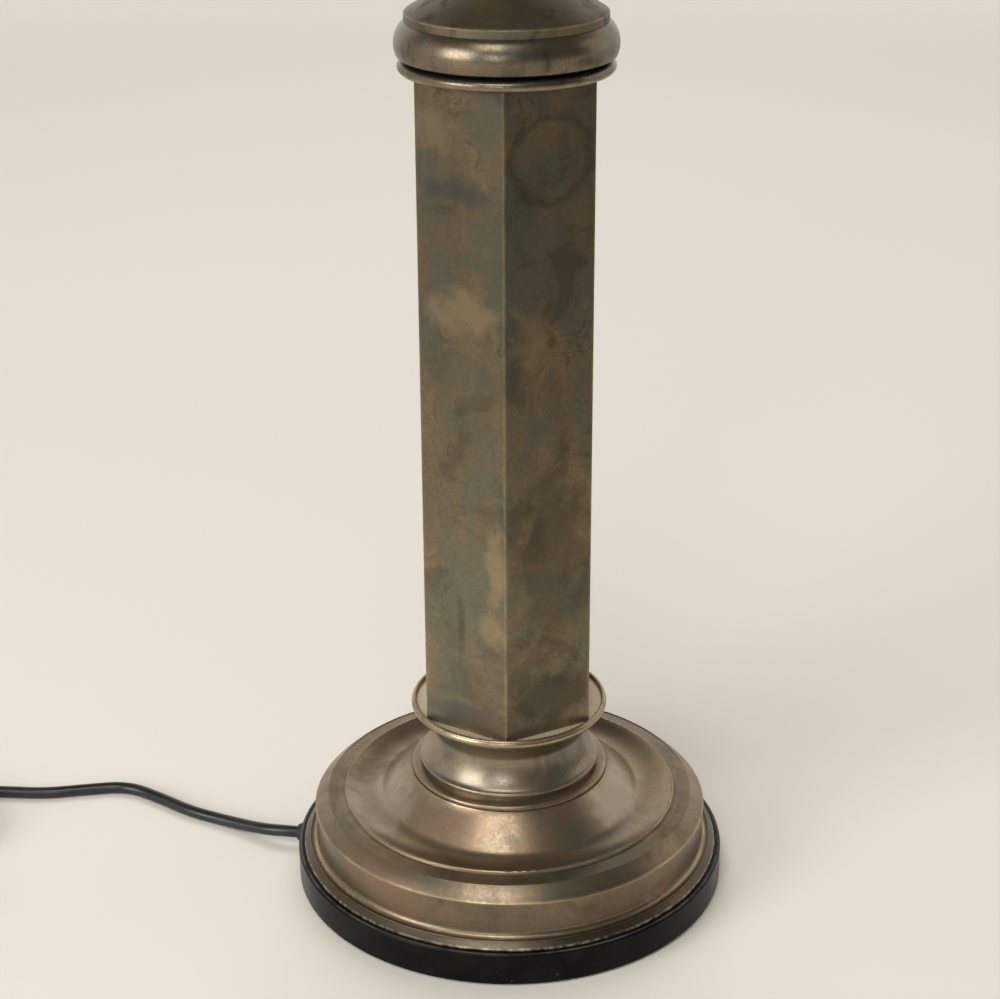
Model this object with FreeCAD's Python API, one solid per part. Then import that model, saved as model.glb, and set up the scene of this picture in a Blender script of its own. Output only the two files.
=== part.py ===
"""Table lamp with a six-sided brass column on a turned base.

Millimetres, +Z up. The origin is the centre of the underside of the felt, on the
surface that the lamp stands on. The front arris of the column faces -Y.
"""
import FreeCAD, Part
import math
import os
from FreeCAD import Vector as V

# ---------------------------------------------------------------- driving sizes
# plinth and what is under it
felt_t = 0.8               # baize under the plinth
felt_margin = 4.0          # the baize stays this far inside the plinth's edge
plinth_r = 105.4
plinth_h = 16.2
plinth_top_round = 1.2
plinth_foot_round = 1.0
cavity_r = 30.0            # open middle of the plinth, where the cord turns upwards
screw_count = 3
screw_circle_r = 55.0
screw_r = 2.5
screw_head_r = 4.8
screw_head_h = 3.2
screw_bite = 8.0           # length of the screw inside the weight

# spun base shell, outline from the lip inwards
shell_wall = 1.2
plinth_show = 3.0          # plinth left bare outside the shell's lip
lip_h = 0.8                # upright edge of the lip
band_w = 2.8               # hollow band that leans in above the lip
band_h = 3.8
bead_w = 0.5               # bright bead along the top of the band
groove_w = 0.6             # fine groove behind the bead
groove_d = 0.4
cove_r = 3.0
drum_top = 38.6            # height of the sharp crease above the ground
drum_lean = 0.9
fascia_w = 6.6
fascia_rise = 6.0
fascia_bulge = 0.25
ledge_w = 8.5
ledge_rise = 0.7
step_h = 1.2
valley_w = 12.8            # from the step to the lowest line of the valley
valley_drop = 3.6
bell_foot_w = 6.8          # soft turn between the valley and the bell
bell_foot_h = 2.5
bell_bulge = 0.3
shell_top = 58.2

# cast weight inside the shell
weight_r = 78.0
weight_t = 13.0
weight_hub_r = 26.0
weight_hub_t = 19.0
nut_pocket_r = 13.0

# neck
neck_ring_r = 48.0
neck_ring_h = 2.5
neck_bore_r = 32.0         # the neck is cored out from below
foot_r = 43.8
foot_gap = 2.4             # shadow gap between the neck ring and the spool's lip
foot_lip_h = 1.7
foot_inset = 1.7
waist_r = 37.9
waist_z = 80.0
spool_top_r = 43.4
spool_roof_t = 4.0
dish_z = 93.6              # upper face of the dish, where the column stands
dish_t = 1.4
rim_r = 47.5
rim_up = 1.9               # rolled rim, above and below the dish's upper face
rim_down = 2.7
rim_gap = 0.3              # between the rim and the column's arrises

# column
column_corner_r = 44.7     # centre to arris
column_len = 307.4
column_wall = 1.5
arris_round = 0.9
locator_t = 6.0
locator_gap = 0.3

# cap under the lampholder
plate_r = 47.5
plate_t = 4.8
gap_r = 43.8
gap_t = 2.2
collar_h = 14.7
collar_foot_r = 47.9       # lower edge of the rounded collar
collar_r = 48.9
collar_bulge_z = 4.9       # height of its widest line
collar_top_r = 45.4
collar_shoulder_h = 0.9
collar_flange_r = 34.0
spun_wall = 1.2
cap_lip_r = 44.3
cap_lip_h = 3.5
cap_bevel = 0.7
cap_rise = 13.2
cap_bulge = 1.1
cap_flat_r = 14.0
check_ring_r = 12.5
check_ring_h = 3.5

# threaded tube that holds the lamp together
rod_r = 5.0
rod_bore_r = 3.75
rod_foot = 20.0
thread_fit = 0.03
rod_hole_gap = 0.25
nut_flats = 17.0
nut_t = 5.0
washer_r = 10.5
washer_t = 1.5
lock_nut_flats = 15.0
lock_nut_t = 4.0

# lampholder
boss_r = 8.5
boss_h = 6.0
holder_r = 20.2
holder_cap_h = 20.0
holder_body_h = 21.0
holder_wall = 1.2
shoulder_r = 22.0
shoulder_t = 2.0
skirt_r = 19.5
skirt_h = 28.0
skirt_wall = 1.2
skirt_groove_h = 1.4       # run-out groove at the foot of the skirt's thread
skirt_groove_d = 0.5
skirt_groove_z = 8.6
sleeve_gap = 0.25
shell_bore_r = 13.4        # bore of the screw shell for an E27 lamp cap
shell_sheet = 0.6
shell_len = 24.0
shell_neck_h = 5.6         # necked foot of the screw shell, round the centre contact
shell_neck_in = 0.7
shade_ring_r = 28.0
shade_ring_h = 7.0
shade_ring_flange_t = 2.4
shade_ring_hub_r = 23.5
shade_ring_gap = 0.3
shade_ring_flutes = 20
bar_r = 2.9
bar_len = 52.0
bar_gap = 0.3
bar_travel = 6.0
bar_from_body_foot = 9.5
contact_w = 7.0
contact_t = 0.6
contact_span = 17.0
contact_rise = 4.5
terminal_r = 2.6
terminal_circle_r = 11.0
core_wire_r = 1.1

# cord
cord_d = 6.0
cord_exit_z = 7.5
cord_exit_angle = 173.5    # degrees from +X, seen from above
bushing_r = 4.5
bushing_gap = 0.1
bushing_in = 17.5
bushing_out = 3.5
bushing_collar_r = 5.4
bushing_nose_r = 4.0
stop_len = 10.0
stop_r = 5.4
flex_bend_r = 12.5

# the cord's route on the table after it has left the bushing (x, y, z)
cord_exit_run = 8.0
cord_route = [
    (-126.5, 17.0, 6.0),
    (-139.0, 24.3, 3.9),
    (-153.0, 31.3, 3.0),
    (-168.5, 38.2, 3.0),
    (-186.0, 50.5, 3.0),
    (-205.5, 62.3, 3.0),
    (-227.0, 58.6, 3.0),
    (-249.0, 53.9, 3.0),
    (-271.0, 55.4, 3.0),
]
coil_lead = 17.0           # last straight run before the coil's own straight end

# coil of the length that is put away, wound in two layers
coil_x = -316.0
coil_y = 9.6
coil_turns = 7.375
coil_mid_r = 33.0
coil_pitch = 6.6
coil_layer = 6.55
coil_lift = 0.05
coil_start_angle = 90.0
coil_steps = 15            # biarcs in each layer

# flat two-pin plug
plug_w = 35.3
plug_t = 13.7
plug_len = 26.0
plug_nose_w = 26.0
plug_relief_len = 14.0
plug_relief_r = 4.6
pin_r = 2.0
pin_len = 19.0
pin_sleeve_len = 10.0
pin_spacing = 18.0

# ---------------------------------------------------------------- derived heights
plinth_z = felt_t
plinth_top = plinth_z + plinth_h
lip_r = plinth_r - plinth_show
band_r = lip_r - band_w
band_z = plinth_top + band_h
groove_r = band_r - bead_w
groove_z = band_z - groove_d
drum_foot_r = groove_r - groove_w - cove_r
cove_z = groove_z + cove_r
drum_r = drum_foot_r + drum_lean
fascia_r = drum_r - fascia_w
fascia_top = drum_top + fascia_rise
step_r = fascia_r - ledge_w
step_z = fascia_top + ledge_rise
valley_r = step_r - valley_w
valley_z = step_z + step_h - valley_drop
foot_lip_z = shell_top + neck_ring_h + foot_gap
foot_lip_top = foot_lip_z + foot_lip_h
column_top = dish_z + column_len
plate_top = column_top + plate_t
collar_z = plate_top + gap_t
collar_top = collar_z + collar_h
cap_slope_z = collar_top + cap_lip_h + cap_bevel
cap_top = cap_slope_z + cap_rise
check_top = cap_top + check_ring_h
holder_z = check_top + lock_nut_t
rod_top = holder_z + boss_h
body_z = holder_z + holder_cap_h
shoulder_top = body_z + holder_body_h
bar_z = body_z + bar_from_body_foot
skirt_top = shoulder_top + skirt_h
core_foot = body_z + 1.0
cord_r = cord_d / 2

exports = {}


# ---------------------------------------------------------------- helpers
def outline(start, *steps):
    """Open wire in the XZ plane. A step of (r, z) is a straight line, and one of
    (r_via, z_via, r, z) is an arc through a point on the way."""
    here = V(start[0], 0, start[1])
    edges = []
    for step in steps:
        there = V(step[-2], 0, step[-1])
        if len(step) == 4:
            edges.append(Part.Arc(here, V(step[0], 0, step[1]), there).toShape())
        else:
            edges.append(Part.LineSegment(here, there).toShape())
        here = there
    return Part.Wire(edges)


def turned(start, *steps):
    """Solid of revolution about Z, its outline closed by a straight line."""
    wire = outline(start, *steps)
    ends = [wire.OrderedVertexes[-1].Point, wire.OrderedVertexes[0].Point]
    closed = Part.Wire(wire.OrderedEdges + [Part.LineSegment(*ends).toShape()])
    return Part.Face(closed).revolve(V(0, 0, 0), V(0, 0, 1), 360)


def spun(wall, start, *steps):
    """Sheet of one thickness, spun to the outline of its outer face."""
    section = outline(start, *steps).makeOffset2D(wall, 2, True, True, False)
    return section.revolve(V(0, 0, 0), V(0, 0, 1), 360)


def disc(radius, z, height, hole=0.0):
    """Flat round piece with an optional hole."""
    solid = Part.makeCylinder(radius, height, V(0, 0, z))
    if hole:
        solid = solid.cut(Part.makeCylinder(hole, height + 2, V(0, 0, z - 1)))
    return solid


def hexagon(corner_r, z, height, turn=-90.0):
    """Six-sided prism whose first corner is at the angle turn."""
    corners = []
    for i in range(7):
        a = math.radians(turn + 60 * i)
        corners.append(V(corner_r * math.cos(a), corner_r * math.sin(a), z))
    return Part.Face(Part.makePolygon(corners)).extrude(V(0, 0, height))


def hex_nut(flats, z, height):
    """Hexagon nut on the threaded tube, with its corners turned off."""
    corner_r = flats / math.sqrt(3)
    nut = hexagon(corner_r, z, height)
    cone_h = height + corner_r
    for base, axis in ((z, 1), (z + height, -1)):
        cone = Part.makeCone(flats / 2 * 0.98, flats / 2 * 0.98 + cone_h * 1.7, cone_h,
                             V(0, 0, base), V(0, 0, axis))
        nut = nut.common(cone)
    return nut.cut(disc(rod_r + thread_fit, z - 1, height + 2))


def arc_from(start, tangent, end):
    """Arc that leaves start along tangent and reaches end."""
    chord = end - start
    side = chord - tangent * chord.dot(tangent)
    if side.Length < 1e-7 * chord.Length:
        return Part.LineSegment(start, end).toShape()
    side.normalize()
    radius = chord.Length ** 2 / (2 * chord.dot(side))
    centre = start + side * radius
    half = (start + end) * 0.5 - centre
    half.normalize()
    if chord.dot(tangent) < 0:
        half = half * -1
    return Part.Arc(start, centre + half * radius, end).toShape()


def biarc(start, t0, end, t1):
    """Two arcs that join smoothly and keep the direction at both ends."""
    gap = end - start
    both = t0 + t1
    lack = 2 * (1 - t0.dot(t1))
    reach = gap.dot(both)
    if lack < 1e-9:
        d = gap.dot(gap) / (2 * reach)
    else:
        d = (-reach + math.sqrt(reach ** 2 + lack * gap.dot(gap))) / lack
    meet = (start + end + (t0 - t1) * d) * 0.5
    first = arc_from(start, t0, meet)
    second = arc_from(end, t1 * -1, meet)
    return [first, second]


def rounded_route(points, label):
    """Straight runs joined by tangent arcs, each as large as its two runs allow."""
    edges = []
    here = points[0]
    radii = []
    for i in range(1, len(points) - 1):
        before = points[i] - points[i - 1]
        after = points[i + 1] - points[i]
        half_turn = before.getAngle(after) / 2
        cut_back = 0.45 * min(before.Length, after.Length)
        radii.append(round(cut_back / math.tan(half_turn), 1))
        into = points[i] - before.normalize() * cut_back
        out = points[i] + after.normalize() * cut_back
        edges.append(Part.LineSegment(here, into).toShape())
        edges.append(arc_from(into, before, out))
        here = out
    edges.append(Part.LineSegment(here, points[-1]).toShape())
    print(f"{label}: radii {radii}")
    return Part.Wire(edges)


def tube(path, radius, label):
    """Round solid along a wire, with its volume set against section times length."""
    start = path.OrderedVertexes[0].Point
    first = path.OrderedEdges[0]
    along = first.tangentAt(first.FirstParameter)
    if (first.valueAt(first.FirstParameter) - start).Length > 1e-6:
        along = first.tangentAt(first.LastParameter) * -1
    ring = Part.Wire([Part.makeCircle(radius, start, along)])
    solid = path.makePipeShell([ring], True, False)
    ideal = math.pi * radius ** 2 * path.Length
    print(f"{label}: length {path.Length:.1f}, volume ratio {solid.Volume / ideal:.4f}")
    return solid


def on_cord_axis(distance, z=cord_exit_z):
    """Point at a distance from the lamp's axis, in the direction the cord leaves."""
    a = math.radians(cord_exit_angle)
    return V(distance * math.cos(a), distance * math.sin(a), z)


def along_cord_axis(radius, start, end):
    """Cylinder on the axis of the cord's hole, between two distances from Z."""
    out = on_cord_axis(1, 0)
    return Part.makeCylinder(radius, end - start, on_cord_axis(start), out)


def polar(radius, count, first=90.0):
    """Positions spread evenly round the lamp's axis."""
    angles = [math.radians(first + 360 * i / count) for i in range(count)]
    return [V(radius * math.cos(a), radius * math.sin(a), 0) for a in angles]


# ---------------------------------------------------------------- base
def make_plinth():
    r, z, top = plinth_r, plinth_z, plinth_top
    a, b = plinth_foot_round, plinth_top_round
    k = 1 - math.sqrt(0.5)
    body = turned((cavity_r, z), (r - a, z), (r - a * k, z + a * k, r, z + a),
                  (r, top - b), (r - b * k, top - b * k, r - b, top), (cavity_r, top))
    for p in polar(screw_circle_r, screw_count):
        body = body.cut(Part.makeCylinder(screw_r + 0.3, plinth_h + 2, p + V(0, 0, z - 1)))
        pocket_r = screw_head_r + 0.5
        pocket_h = screw_head_h + 0.8
        body = body.cut(Part.makeCylinder(pocket_r, pocket_h, p + V(0, 0, z)))
    return body.cut(along_cord_axis(bushing_r + bushing_gap, cavity_r / 2, plinth_r + 5))


def make_plinth_screws():
    screws = []
    head_z = plinth_z + 0.8
    shank = plinth_top - head_z + screw_bite
    for p in polar(screw_circle_r, screw_count):
        foot = p + V(0, 0, head_z)
        head = Part.makeCylinder(screw_head_r, screw_head_h, foot)
        slot = Part.makeBox(2 * screw_head_r + 2, 1.2, 1.4, foot - V(screw_head_r + 1, 0.6, 0))
        screws.append(head.cut(slot).fuse(Part.makeCylinder(screw_r, shank, foot + V(0, 0, 1.4))
                                          .cut(Part.makeCylinder(screw_r + 1, 2, foot
                                                                 + V(0, 0, shank)))))
    return Part.Compound(screws)


def make_base_weight():
    z = plinth_top
    body = turned((rod_r + rod_hole_gap, z), (weight_r - 1.5, z), (weight_r, z + 1.5),
                  (weight_r, z + weight_t - 2), (weight_r - 2, z + weight_t),
                  (weight_hub_r + 3, z + weight_t), (weight_hub_r, z + weight_hub_t),
                  (rod_r + rod_hole_gap, z + weight_hub_t))
    pocket_h = rod_foot + nut_t + washer_t + 0.6 - z
    body = body.cut(disc(nut_pocket_r, z - 1, pocket_h + 1))
    for p in polar(screw_circle_r, screw_count):
        tapped = Part.makeCylinder(screw_r + thread_fit, screw_bite + 2, p + V(0, 0, z - 1))
        body = body.cut(tapped)
    return body


def make_base_shell():
    """Spun sheet: the outer face with its band, bead, cove, fascia, ledge, valley and bell,
    and an inner face one wall inside that follows the large forms only."""
    z, w = plinth_top, shell_wall
    k = 1 - math.sqrt(0.5)
    neck_r = neck_ring_r + 0.9
    hole = rod_r + rod_hole_gap
    band_via = (lip_r - band_w * 0.42, z + lip_h + (band_h - lip_h) * 0.36)
    fascia_tilt = math.atan2(fascia_rise, fascia_w)
    fascia_via = ((drum_r + fascia_r) / 2 + fascia_bulge * math.sin(fascia_tilt),
                  (drum_top + fascia_top) / 2 + fascia_bulge * math.cos(fascia_tilt))
    crest_z = step_z + step_h
    valley_via = (valley_r + valley_w * 0.36, valley_z + 0.35)
    flat_r = valley_r - bell_foot_w * 0.3
    foot_r_in = flat_r - bell_foot_w * 0.7
    bell_foot_z = valley_z + bell_foot_h
    bell_foot_via = ((flat_r + foot_r_in) / 2 - 0.21, (valley_z + bell_foot_z) / 2 - 0.42)
    bell_via = ((foot_r_in + neck_r) / 2 - bell_bulge * 0.7,
                (bell_foot_z + shell_top) / 2 - bell_bulge * 0.7)
    inner_k = cove_r - (cove_r + w) * math.sqrt(0.5)
    return turned(
        (lip_r - 0.2, z),
        (lip_r, z + 0.2),
        (lip_r, z + lip_h),
        (*band_via, band_r, band_z - 0.3),
        (band_r - bead_w / 2, band_z, band_r - bead_w, band_z - 0.2),
        (groove_r, groove_z),
        (groove_r - groove_w, groove_z),
        (drum_foot_r + cove_r * k, groove_z + cove_r * k, drum_foot_r, cove_z),
        (drum_r, drum_top),
        (*fascia_via, fascia_r, fascia_top),
        (fascia_r - 0.5, fascia_top - 0.35),
        (step_r + 0.4, step_z - 0.35),
        (step_r, step_z + step_h * 0.7),
        (step_r - 0.45, crest_z, step_r - 1.3, step_z + step_h * 0.9),
        (*valley_via, flat_r, valley_z),
        (*bell_foot_via, foot_r_in, bell_foot_z),
        (*bell_via, neck_r, shell_top - 0.8),
        (neck_r - 0.5, shell_top),
        (hole, shell_top),
        (hole, shell_top - w),
        (neck_r - 0.9 * w, shell_top - 0.8 - 0.5 * w),
        (bell_via[0] - 0.7 * w, bell_via[1] - 0.7 * w,
         foot_r_in - 0.7 * w, bell_foot_z - 0.7 * w),
        (bell_foot_via[0] - 0.4 * w, bell_foot_via[1] - 0.92 * w, flat_r, valley_z - w),
        (valley_via[0], valley_via[1] - w, step_r - 1.3, step_z + step_h * 0.9 - w),
        (fascia_r - 0.5 * w, fascia_top - 0.35 - w),
        (fascia_via[0] - 0.7 * w, fascia_via[1] - 0.7 * w, drum_r - w, drum_top - 0.45 * w),
        (drum_foot_r - w, cove_z),
        (drum_foot_r + inner_k, groove_z + inner_k, drum_foot_r + cove_r, groove_z - w),
        (band_r - 0.7 * w, groove_z - w),
        (lip_r - 1.2 * w, z + 0.4),
        (lip_r - 1.2 * w, z))


def make_neck_ring():
    z, top, r = shell_top, shell_top + neck_ring_h, neck_ring_r
    return turned((neck_bore_r, z), (r - 0.4, z), (r, z + 0.4), (r, z + 0.9),
                  (r - 0.5, top - 0.5, r - 1.6, top), (neck_bore_r, top))


def make_neck_spool():
    z = shell_top + neck_ring_h
    lip_mid = (foot_lip_z + foot_lip_top) / 2
    top = dish_z - dish_t
    hole = rod_r + rod_hole_gap
    roof_z = top - spool_roof_t
    return turned(
        (neck_bore_r, z), (foot_r - foot_inset, z), (foot_r - foot_inset, foot_lip_z - 0.6),
        (foot_r - 0.9, foot_lip_z),
        (foot_r, lip_mid, foot_r - 0.9, foot_lip_top),
        (waist_r + (foot_r - waist_r) * 0.42, foot_lip_top + (waist_z - foot_lip_top) * 0.45,
         waist_r, waist_z),
        (waist_r + 1.2, waist_z + 0.62 * (top - 1.2 - waist_z), spool_top_r, top - 1.2),
        (spool_top_r, top), (hole, top), (hole, roof_z), (neck_bore_r - 3, roof_z),
        (neck_bore_r, roof_z - 3))


def make_column_dish():
    """Shallow pan with a rolled rim that stands just outside the column's arrises."""
    hole, under = rod_r + rod_hole_gap, dish_z - dish_t
    inside = column_corner_r + rim_gap
    crown = dish_z + rim_up
    shoulder = crown - 0.9
    low = dish_z - rim_down
    under_r = spool_top_r + 0.5
    return turned(
        (hole, under), (under_r, under), (under_r + 0.4, low + 0.5),
        (rim_r - 1.8, low),
        (rim_r, (low + shoulder) / 2, rim_r - 0.5, shoulder),
        ((rim_r + inside) / 2, crown, inside, shoulder),
        (inside, dish_z), (hole, dish_z))


# ---------------------------------------------------------------- column
def make_column_tube():
    inner_r = column_corner_r - column_wall / math.cos(math.radians(30))
    outer = hexagon(column_corner_r, dish_z, column_len)
    arrises = [e for e in outer.Edges if abs(e.BoundBox.ZLength - column_len) < 0.01]
    outer = outer.makeFillet(arris_round, arrises)
    return outer.cut(hexagon(inner_r, dish_z - 1, column_len + 2))


def make_locator(z):
    """Plate inside the column that centres it on the threaded tube."""
    corner_r = column_corner_r - (column_wall + locator_gap) / math.cos(math.radians(30))
    return hexagon(corner_r, z, locator_t).cut(disc(rod_r + rod_hole_gap, z - 1, locator_t + 2))


# ---------------------------------------------------------------- cap
def make_top_plate():
    z, top, r, half = column_top, plate_top, plate_r, plate_t / 2
    hole = rod_r + rod_hole_gap
    return turned((hole, z), (r - half, z), (r, z + half, r - half, top), (hole, top))


def make_collar():
    z, top = collar_z, collar_top
    shoulder_z = top - collar_shoulder_h
    return spun(spun_wall, (collar_flange_r, z), (collar_foot_r - 0.4, z),
                (collar_foot_r, z + 0.4),
                (collar_r, z + collar_bulge_z, collar_top_r, shoulder_z),
                (collar_top_r - 1.4, top), (collar_flange_r, top))


def make_dome_cap():
    z = collar_top
    slope_r = cap_lip_r - cap_bevel
    run = slope_r - cap_flat_r
    tilt = math.atan2(cap_rise, run)
    via_r = (slope_r + cap_flat_r) / 2 + cap_bulge * math.sin(tilt)
    via_z = cap_slope_z + cap_rise / 2 + cap_bulge * math.cos(tilt)
    return spun(spun_wall, (cap_lip_r, z), (cap_lip_r, z + cap_lip_h), (slope_r, cap_slope_z),
                (via_r, via_z, cap_flat_r, cap_top), (rod_r + rod_hole_gap, cap_top))


def make_check_ring():
    z, top, r = cap_top, check_top, check_ring_r
    hole = rod_r + rod_hole_gap
    return turned((hole, z), (r, z), (r, z + 0.8), (r - 0.6, top - 1.2, r - 2.4, top), (hole, top))


# ---------------------------------------------------------------- lampholder
def make_holder_cap():
    z, top, w = holder_z, body_z, holder_wall
    r = holder_r
    bell_z = z + boss_h
    outer = turned((0, z), (boss_r, z), (boss_r, bell_z - 1),
                   (boss_r + 0.9, bell_z + 1.6, boss_r + 3.5, bell_z + 3.2),
                   (r - 2.2, bell_z + 6.4, r, top - 3.5), (r, top), (0, top))
    inner = turned((0, bell_z), (boss_r - 1.5, bell_z), (boss_r + 3.1, bell_z + 4.6),
                   (r - w - 2.4, bell_z + 7.6, r - w, top - 3.0), (r - w, top + 1), (0, top + 1))
    return outer.cut(inner).cut(disc(rod_r + thread_fit, z - 1, boss_h + 2))


def make_holder_body():
    z, top, r = body_z, shoulder_top, holder_r
    body = turned((r - holder_wall, z), (r, z), (r, top - shoulder_t - 1),
                  (shoulder_r, top - shoulder_t), (shoulder_r, top),
                  (skirt_r - skirt_wall - 0.8, top), (skirt_r - skirt_wall - 0.8, top - 1.2),
                  (r - holder_wall, top - 1.2))
    window = Part.makeCylinder(bar_r + bar_gap, 2 * shoulder_r + 4,
                               V(-shoulder_r - 2, 0, bar_z), V(1, 0, 0))
    return body.cut(window)


def make_holder_core():
    r = holder_r - holder_wall - 0.3
    top = shoulder_top - 1.2 - 0.1
    core = disc(r, core_foot, top - core_foot)
    core = core.fuse(disc(shell_bore_r, top - 0.5, shoulder_top + 1.2 - top + 0.5))
    half = bar_r + 0.8
    tunnel = Part.makeBox(2 * r + 2, 2 * half, 2 * half, V(-r - 1, -half, bar_z - half))
    core = core.cut(tunnel)
    for p in polar(terminal_circle_r, 2):
        core = core.cut(Part.makeCylinder(1.6, 4.5, p + V(0, 0, core_foot - 0.5)))
    return core.removeSplitter()


def make_terminal_screws():
    screws = []
    for p in polar(terminal_circle_r, 2):
        head = Part.makeCylinder(terminal_r, 2.0, p + V(0, 0, core_foot - 2.0))
        slot = Part.makeBox(2 * terminal_r + 2, 0.8, 0.8,
                            p + V(-terminal_r - 1, -0.4, core_foot - 2.0))
        shank = Part.makeCylinder(1.5, 3.8, p + V(0, 0, core_foot - 0.2))
        screws.append(head.cut(slot).fuse(shank))
    return Part.Compound(screws)


def make_holder_skirt():
    z, r, w = shoulder_top, skirt_r, skirt_wall
    low = z + skirt_groove_z
    high = low + skirt_groove_h
    return turned((r - w, z), (r, z), (r, low), (r - skirt_groove_d, low),
                  (r - skirt_groove_d, high), (r, high), (r, skirt_top - 0.8),
                  (r - 0.5, skirt_top), (r - w, skirt_top))


def make_insulating_sleeve():
    outer = skirt_r - skirt_wall - sleeve_gap
    inner = shell_bore_r + shell_sheet + sleeve_gap
    z = shoulder_top + 0.1
    top = skirt_top - 0.6
    return turned((inner, z), (outer, z), (outer, top - 0.6), (outer - 0.6, top),
                  (inner + 0.6, top), (inner, top - 0.6))


def make_screw_shell():
    z, r, t = shoulder_top + 1.3, shell_bore_r, shell_sheet
    step = z + shell_neck_h
    neck = r - shell_neck_in
    return turned((neck, z), (neck + t, z), (neck + t, step - t), (r + t, step - t),
                  (r + t, z + shell_len), (r, z + shell_len), (r, step), (neck, step))


def make_centre_contact():
    z = shoulder_top + 1.3
    half = contact_span / 2
    bent = outline((-half, z), (-half + 3, z), (0, z + contact_rise, half - 3, z), (half, z))
    strip = bent.makeOffset2D(contact_t, 2, True, True, False)
    solid = strip.extrude(V(0, contact_w, 0))
    solid.translate(V(0, -contact_w / 2, 0))
    solid.translate(V(0, 0, z - solid.BoundBox.ZMin))
    return solid


def make_switch_bar():
    """Push bar, at rest with its left end out."""
    foot = -bar_len / 2 - bar_travel / 2
    bar = Part.makeCylinder(bar_r, bar_len, V(foot, 0, bar_z), V(1, 0, 0))
    ends = [e for e in bar.Edges if e.Closed and e.BoundBox.XLength < 0.01]
    return bar.makeFillet(0.8, ends)


def make_shade_ring():
    z = shoulder_top + shade_ring_gap
    bore = skirt_r + shade_ring_gap
    top = z + shade_ring_h
    flange = z + shade_ring_flange_t
    ring = turned((bore, z), (shade_ring_r - 0.6, z), (shade_ring_r, z + 0.6),
                  (shade_ring_r, flange - 0.6), (shade_ring_r - 0.6, flange),
                  (shade_ring_hub_r, flange), (shade_ring_hub_r, top - 0.6),
                  (shade_ring_hub_r - 0.6, top), (bore, top))
    for p in polar(shade_ring_hub_r + 0.5, shade_ring_flutes):
        flute = Part.makeCylinder(1.1, shade_ring_h, p + V(0, 0, flange + 0.3))
        ring = ring.cut(flute)
    return ring


# ---------------------------------------------------------------- wiring
def make_cord_bushing():
    """Rubber bushing that tapers inside the plinth and has a short nose outside."""
    a, b = plinth_r - bushing_in, plinth_r
    out = on_cord_axis(1, 0)
    sleeve = along_cord_axis(bushing_r, b - bushing_in * 0.55, b)
    tail = Part.makeCone(bushing_nose_r, bushing_r, bushing_in * 0.45, on_cord_axis(a), out)
    collar = along_cord_axis(bushing_collar_r, b + 0.05, b + 1.2)
    neck = along_cord_axis(bushing_r, b - 0.5, b + 0.5)
    nose = Part.makeCone(bushing_collar_r - 0.3, bushing_nose_r, bushing_out - 1.2,
                         on_cord_axis(b + 1.2), out)
    solid = sleeve.fuse([tail, neck, collar, nose])
    bore = along_cord_axis(cord_r + bushing_gap, a - 1, b + bushing_out + 1)
    return solid.cut(bore).removeSplitter()


def make_inner_flex():
    """Cord from the mouth of the bushing to the lampholder, inside the lamp."""
    mouth = on_cord_axis(plinth_r + bushing_out)
    bend_in = on_cord_axis(flex_bend_r)
    bend_out = V(0, 0, cord_exit_z + flex_bend_r)
    path = Part.Wire([Part.LineSegment(mouth, bend_in).toShape(),
                      arc_from(bend_in, on_cord_axis(-1, 0), bend_out),
                      Part.LineSegment(bend_out, V(0, 0, rod_top + 3.0)).toShape()])
    return tube(path, cord_r, "inner flex")


def make_cord_stop():
    end = cavity_r - 0.9
    ring = along_cord_axis(stop_r, end - stop_len, end)
    return ring.cut(along_cord_axis(cord_r + 0.02, end - stop_len - 1, end + 1))


def make_core_wires():
    """The two insulated cores that fan out from the flex to the terminals."""
    foot = rod_top + 3.0
    near = core_wire_r + 0.1
    far = terminal_circle_r - terminal_r - core_wire_r - 0.1
    wires = []
    for side in (1, -1):
        points = [V(0, side * near, foot), V(0, side * near, foot + 3.0),
                  V(0, side * far, core_foot - 4.0), V(0, side * far, core_foot)]
        wires.append(tube(rounded_route(points, "core wire"), core_wire_r, "core wire"))
    return Part.Compound(wires)


def free_cord_points():
    start = on_cord_axis(plinth_r + bushing_out)
    near = on_cord_axis(plinth_r + bushing_out + cord_exit_run)
    route = [V(*p) for p in cord_route]
    touch, heading = coil_at(0.0)
    end = touch - heading * cord_d
    return [start, near] + route + [end - heading * coil_lead, end]


def make_cord():
    points = free_cord_points()
    return tube(rounded_route(points, "cord"), cord_r, "cord")


def coil_at(turn):
    """Point and direction on the coil's axis line after so many turns."""
    middle = coil_turns / 2
    inner_r = coil_mid_r - coil_pitch * middle / 2

    def point(t):
        radius = inner_r + coil_pitch * abs(t - middle)
        climb = min(1.0, max(0.0, (t - middle + 0.25) / 0.5))
        z = cord_r + coil_lift + coil_layer * climb * climb * (3 - 2 * climb)
        a = math.radians(coil_start_angle + 360 * t)
        return V(coil_x + radius * math.cos(a), coil_y + radius * math.sin(a), z)

    small = 1e-4
    direction = point(turn + small) - point(turn - small)
    return point(turn), direction.normalize()


def coil_turn_values():
    return [coil_turns * i / (2 * coil_steps) for i in range(2 * coil_steps + 1)]


def make_cord_coil():
    """Two-layer coil: the cord spirals in, climbs a layer and spirals out again."""
    stations = [coil_at(t) for t in coil_turn_values()]
    first, last = stations[0], stations[-1]
    edges = [Part.LineSegment(first[0] - first[1] * cord_d, first[0]).toShape()]
    for (p, tp), (q, tq) in zip(stations, stations[1:]):
        edges += biarc(p, tp, q, tq)
    edges.append(Part.LineSegment(last[0], last[0] + last[1] * cord_d).toShape())
    path = Part.Wire(edges)
    print_least_gap(path)
    return tube(path, cord_r, "coil")


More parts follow.
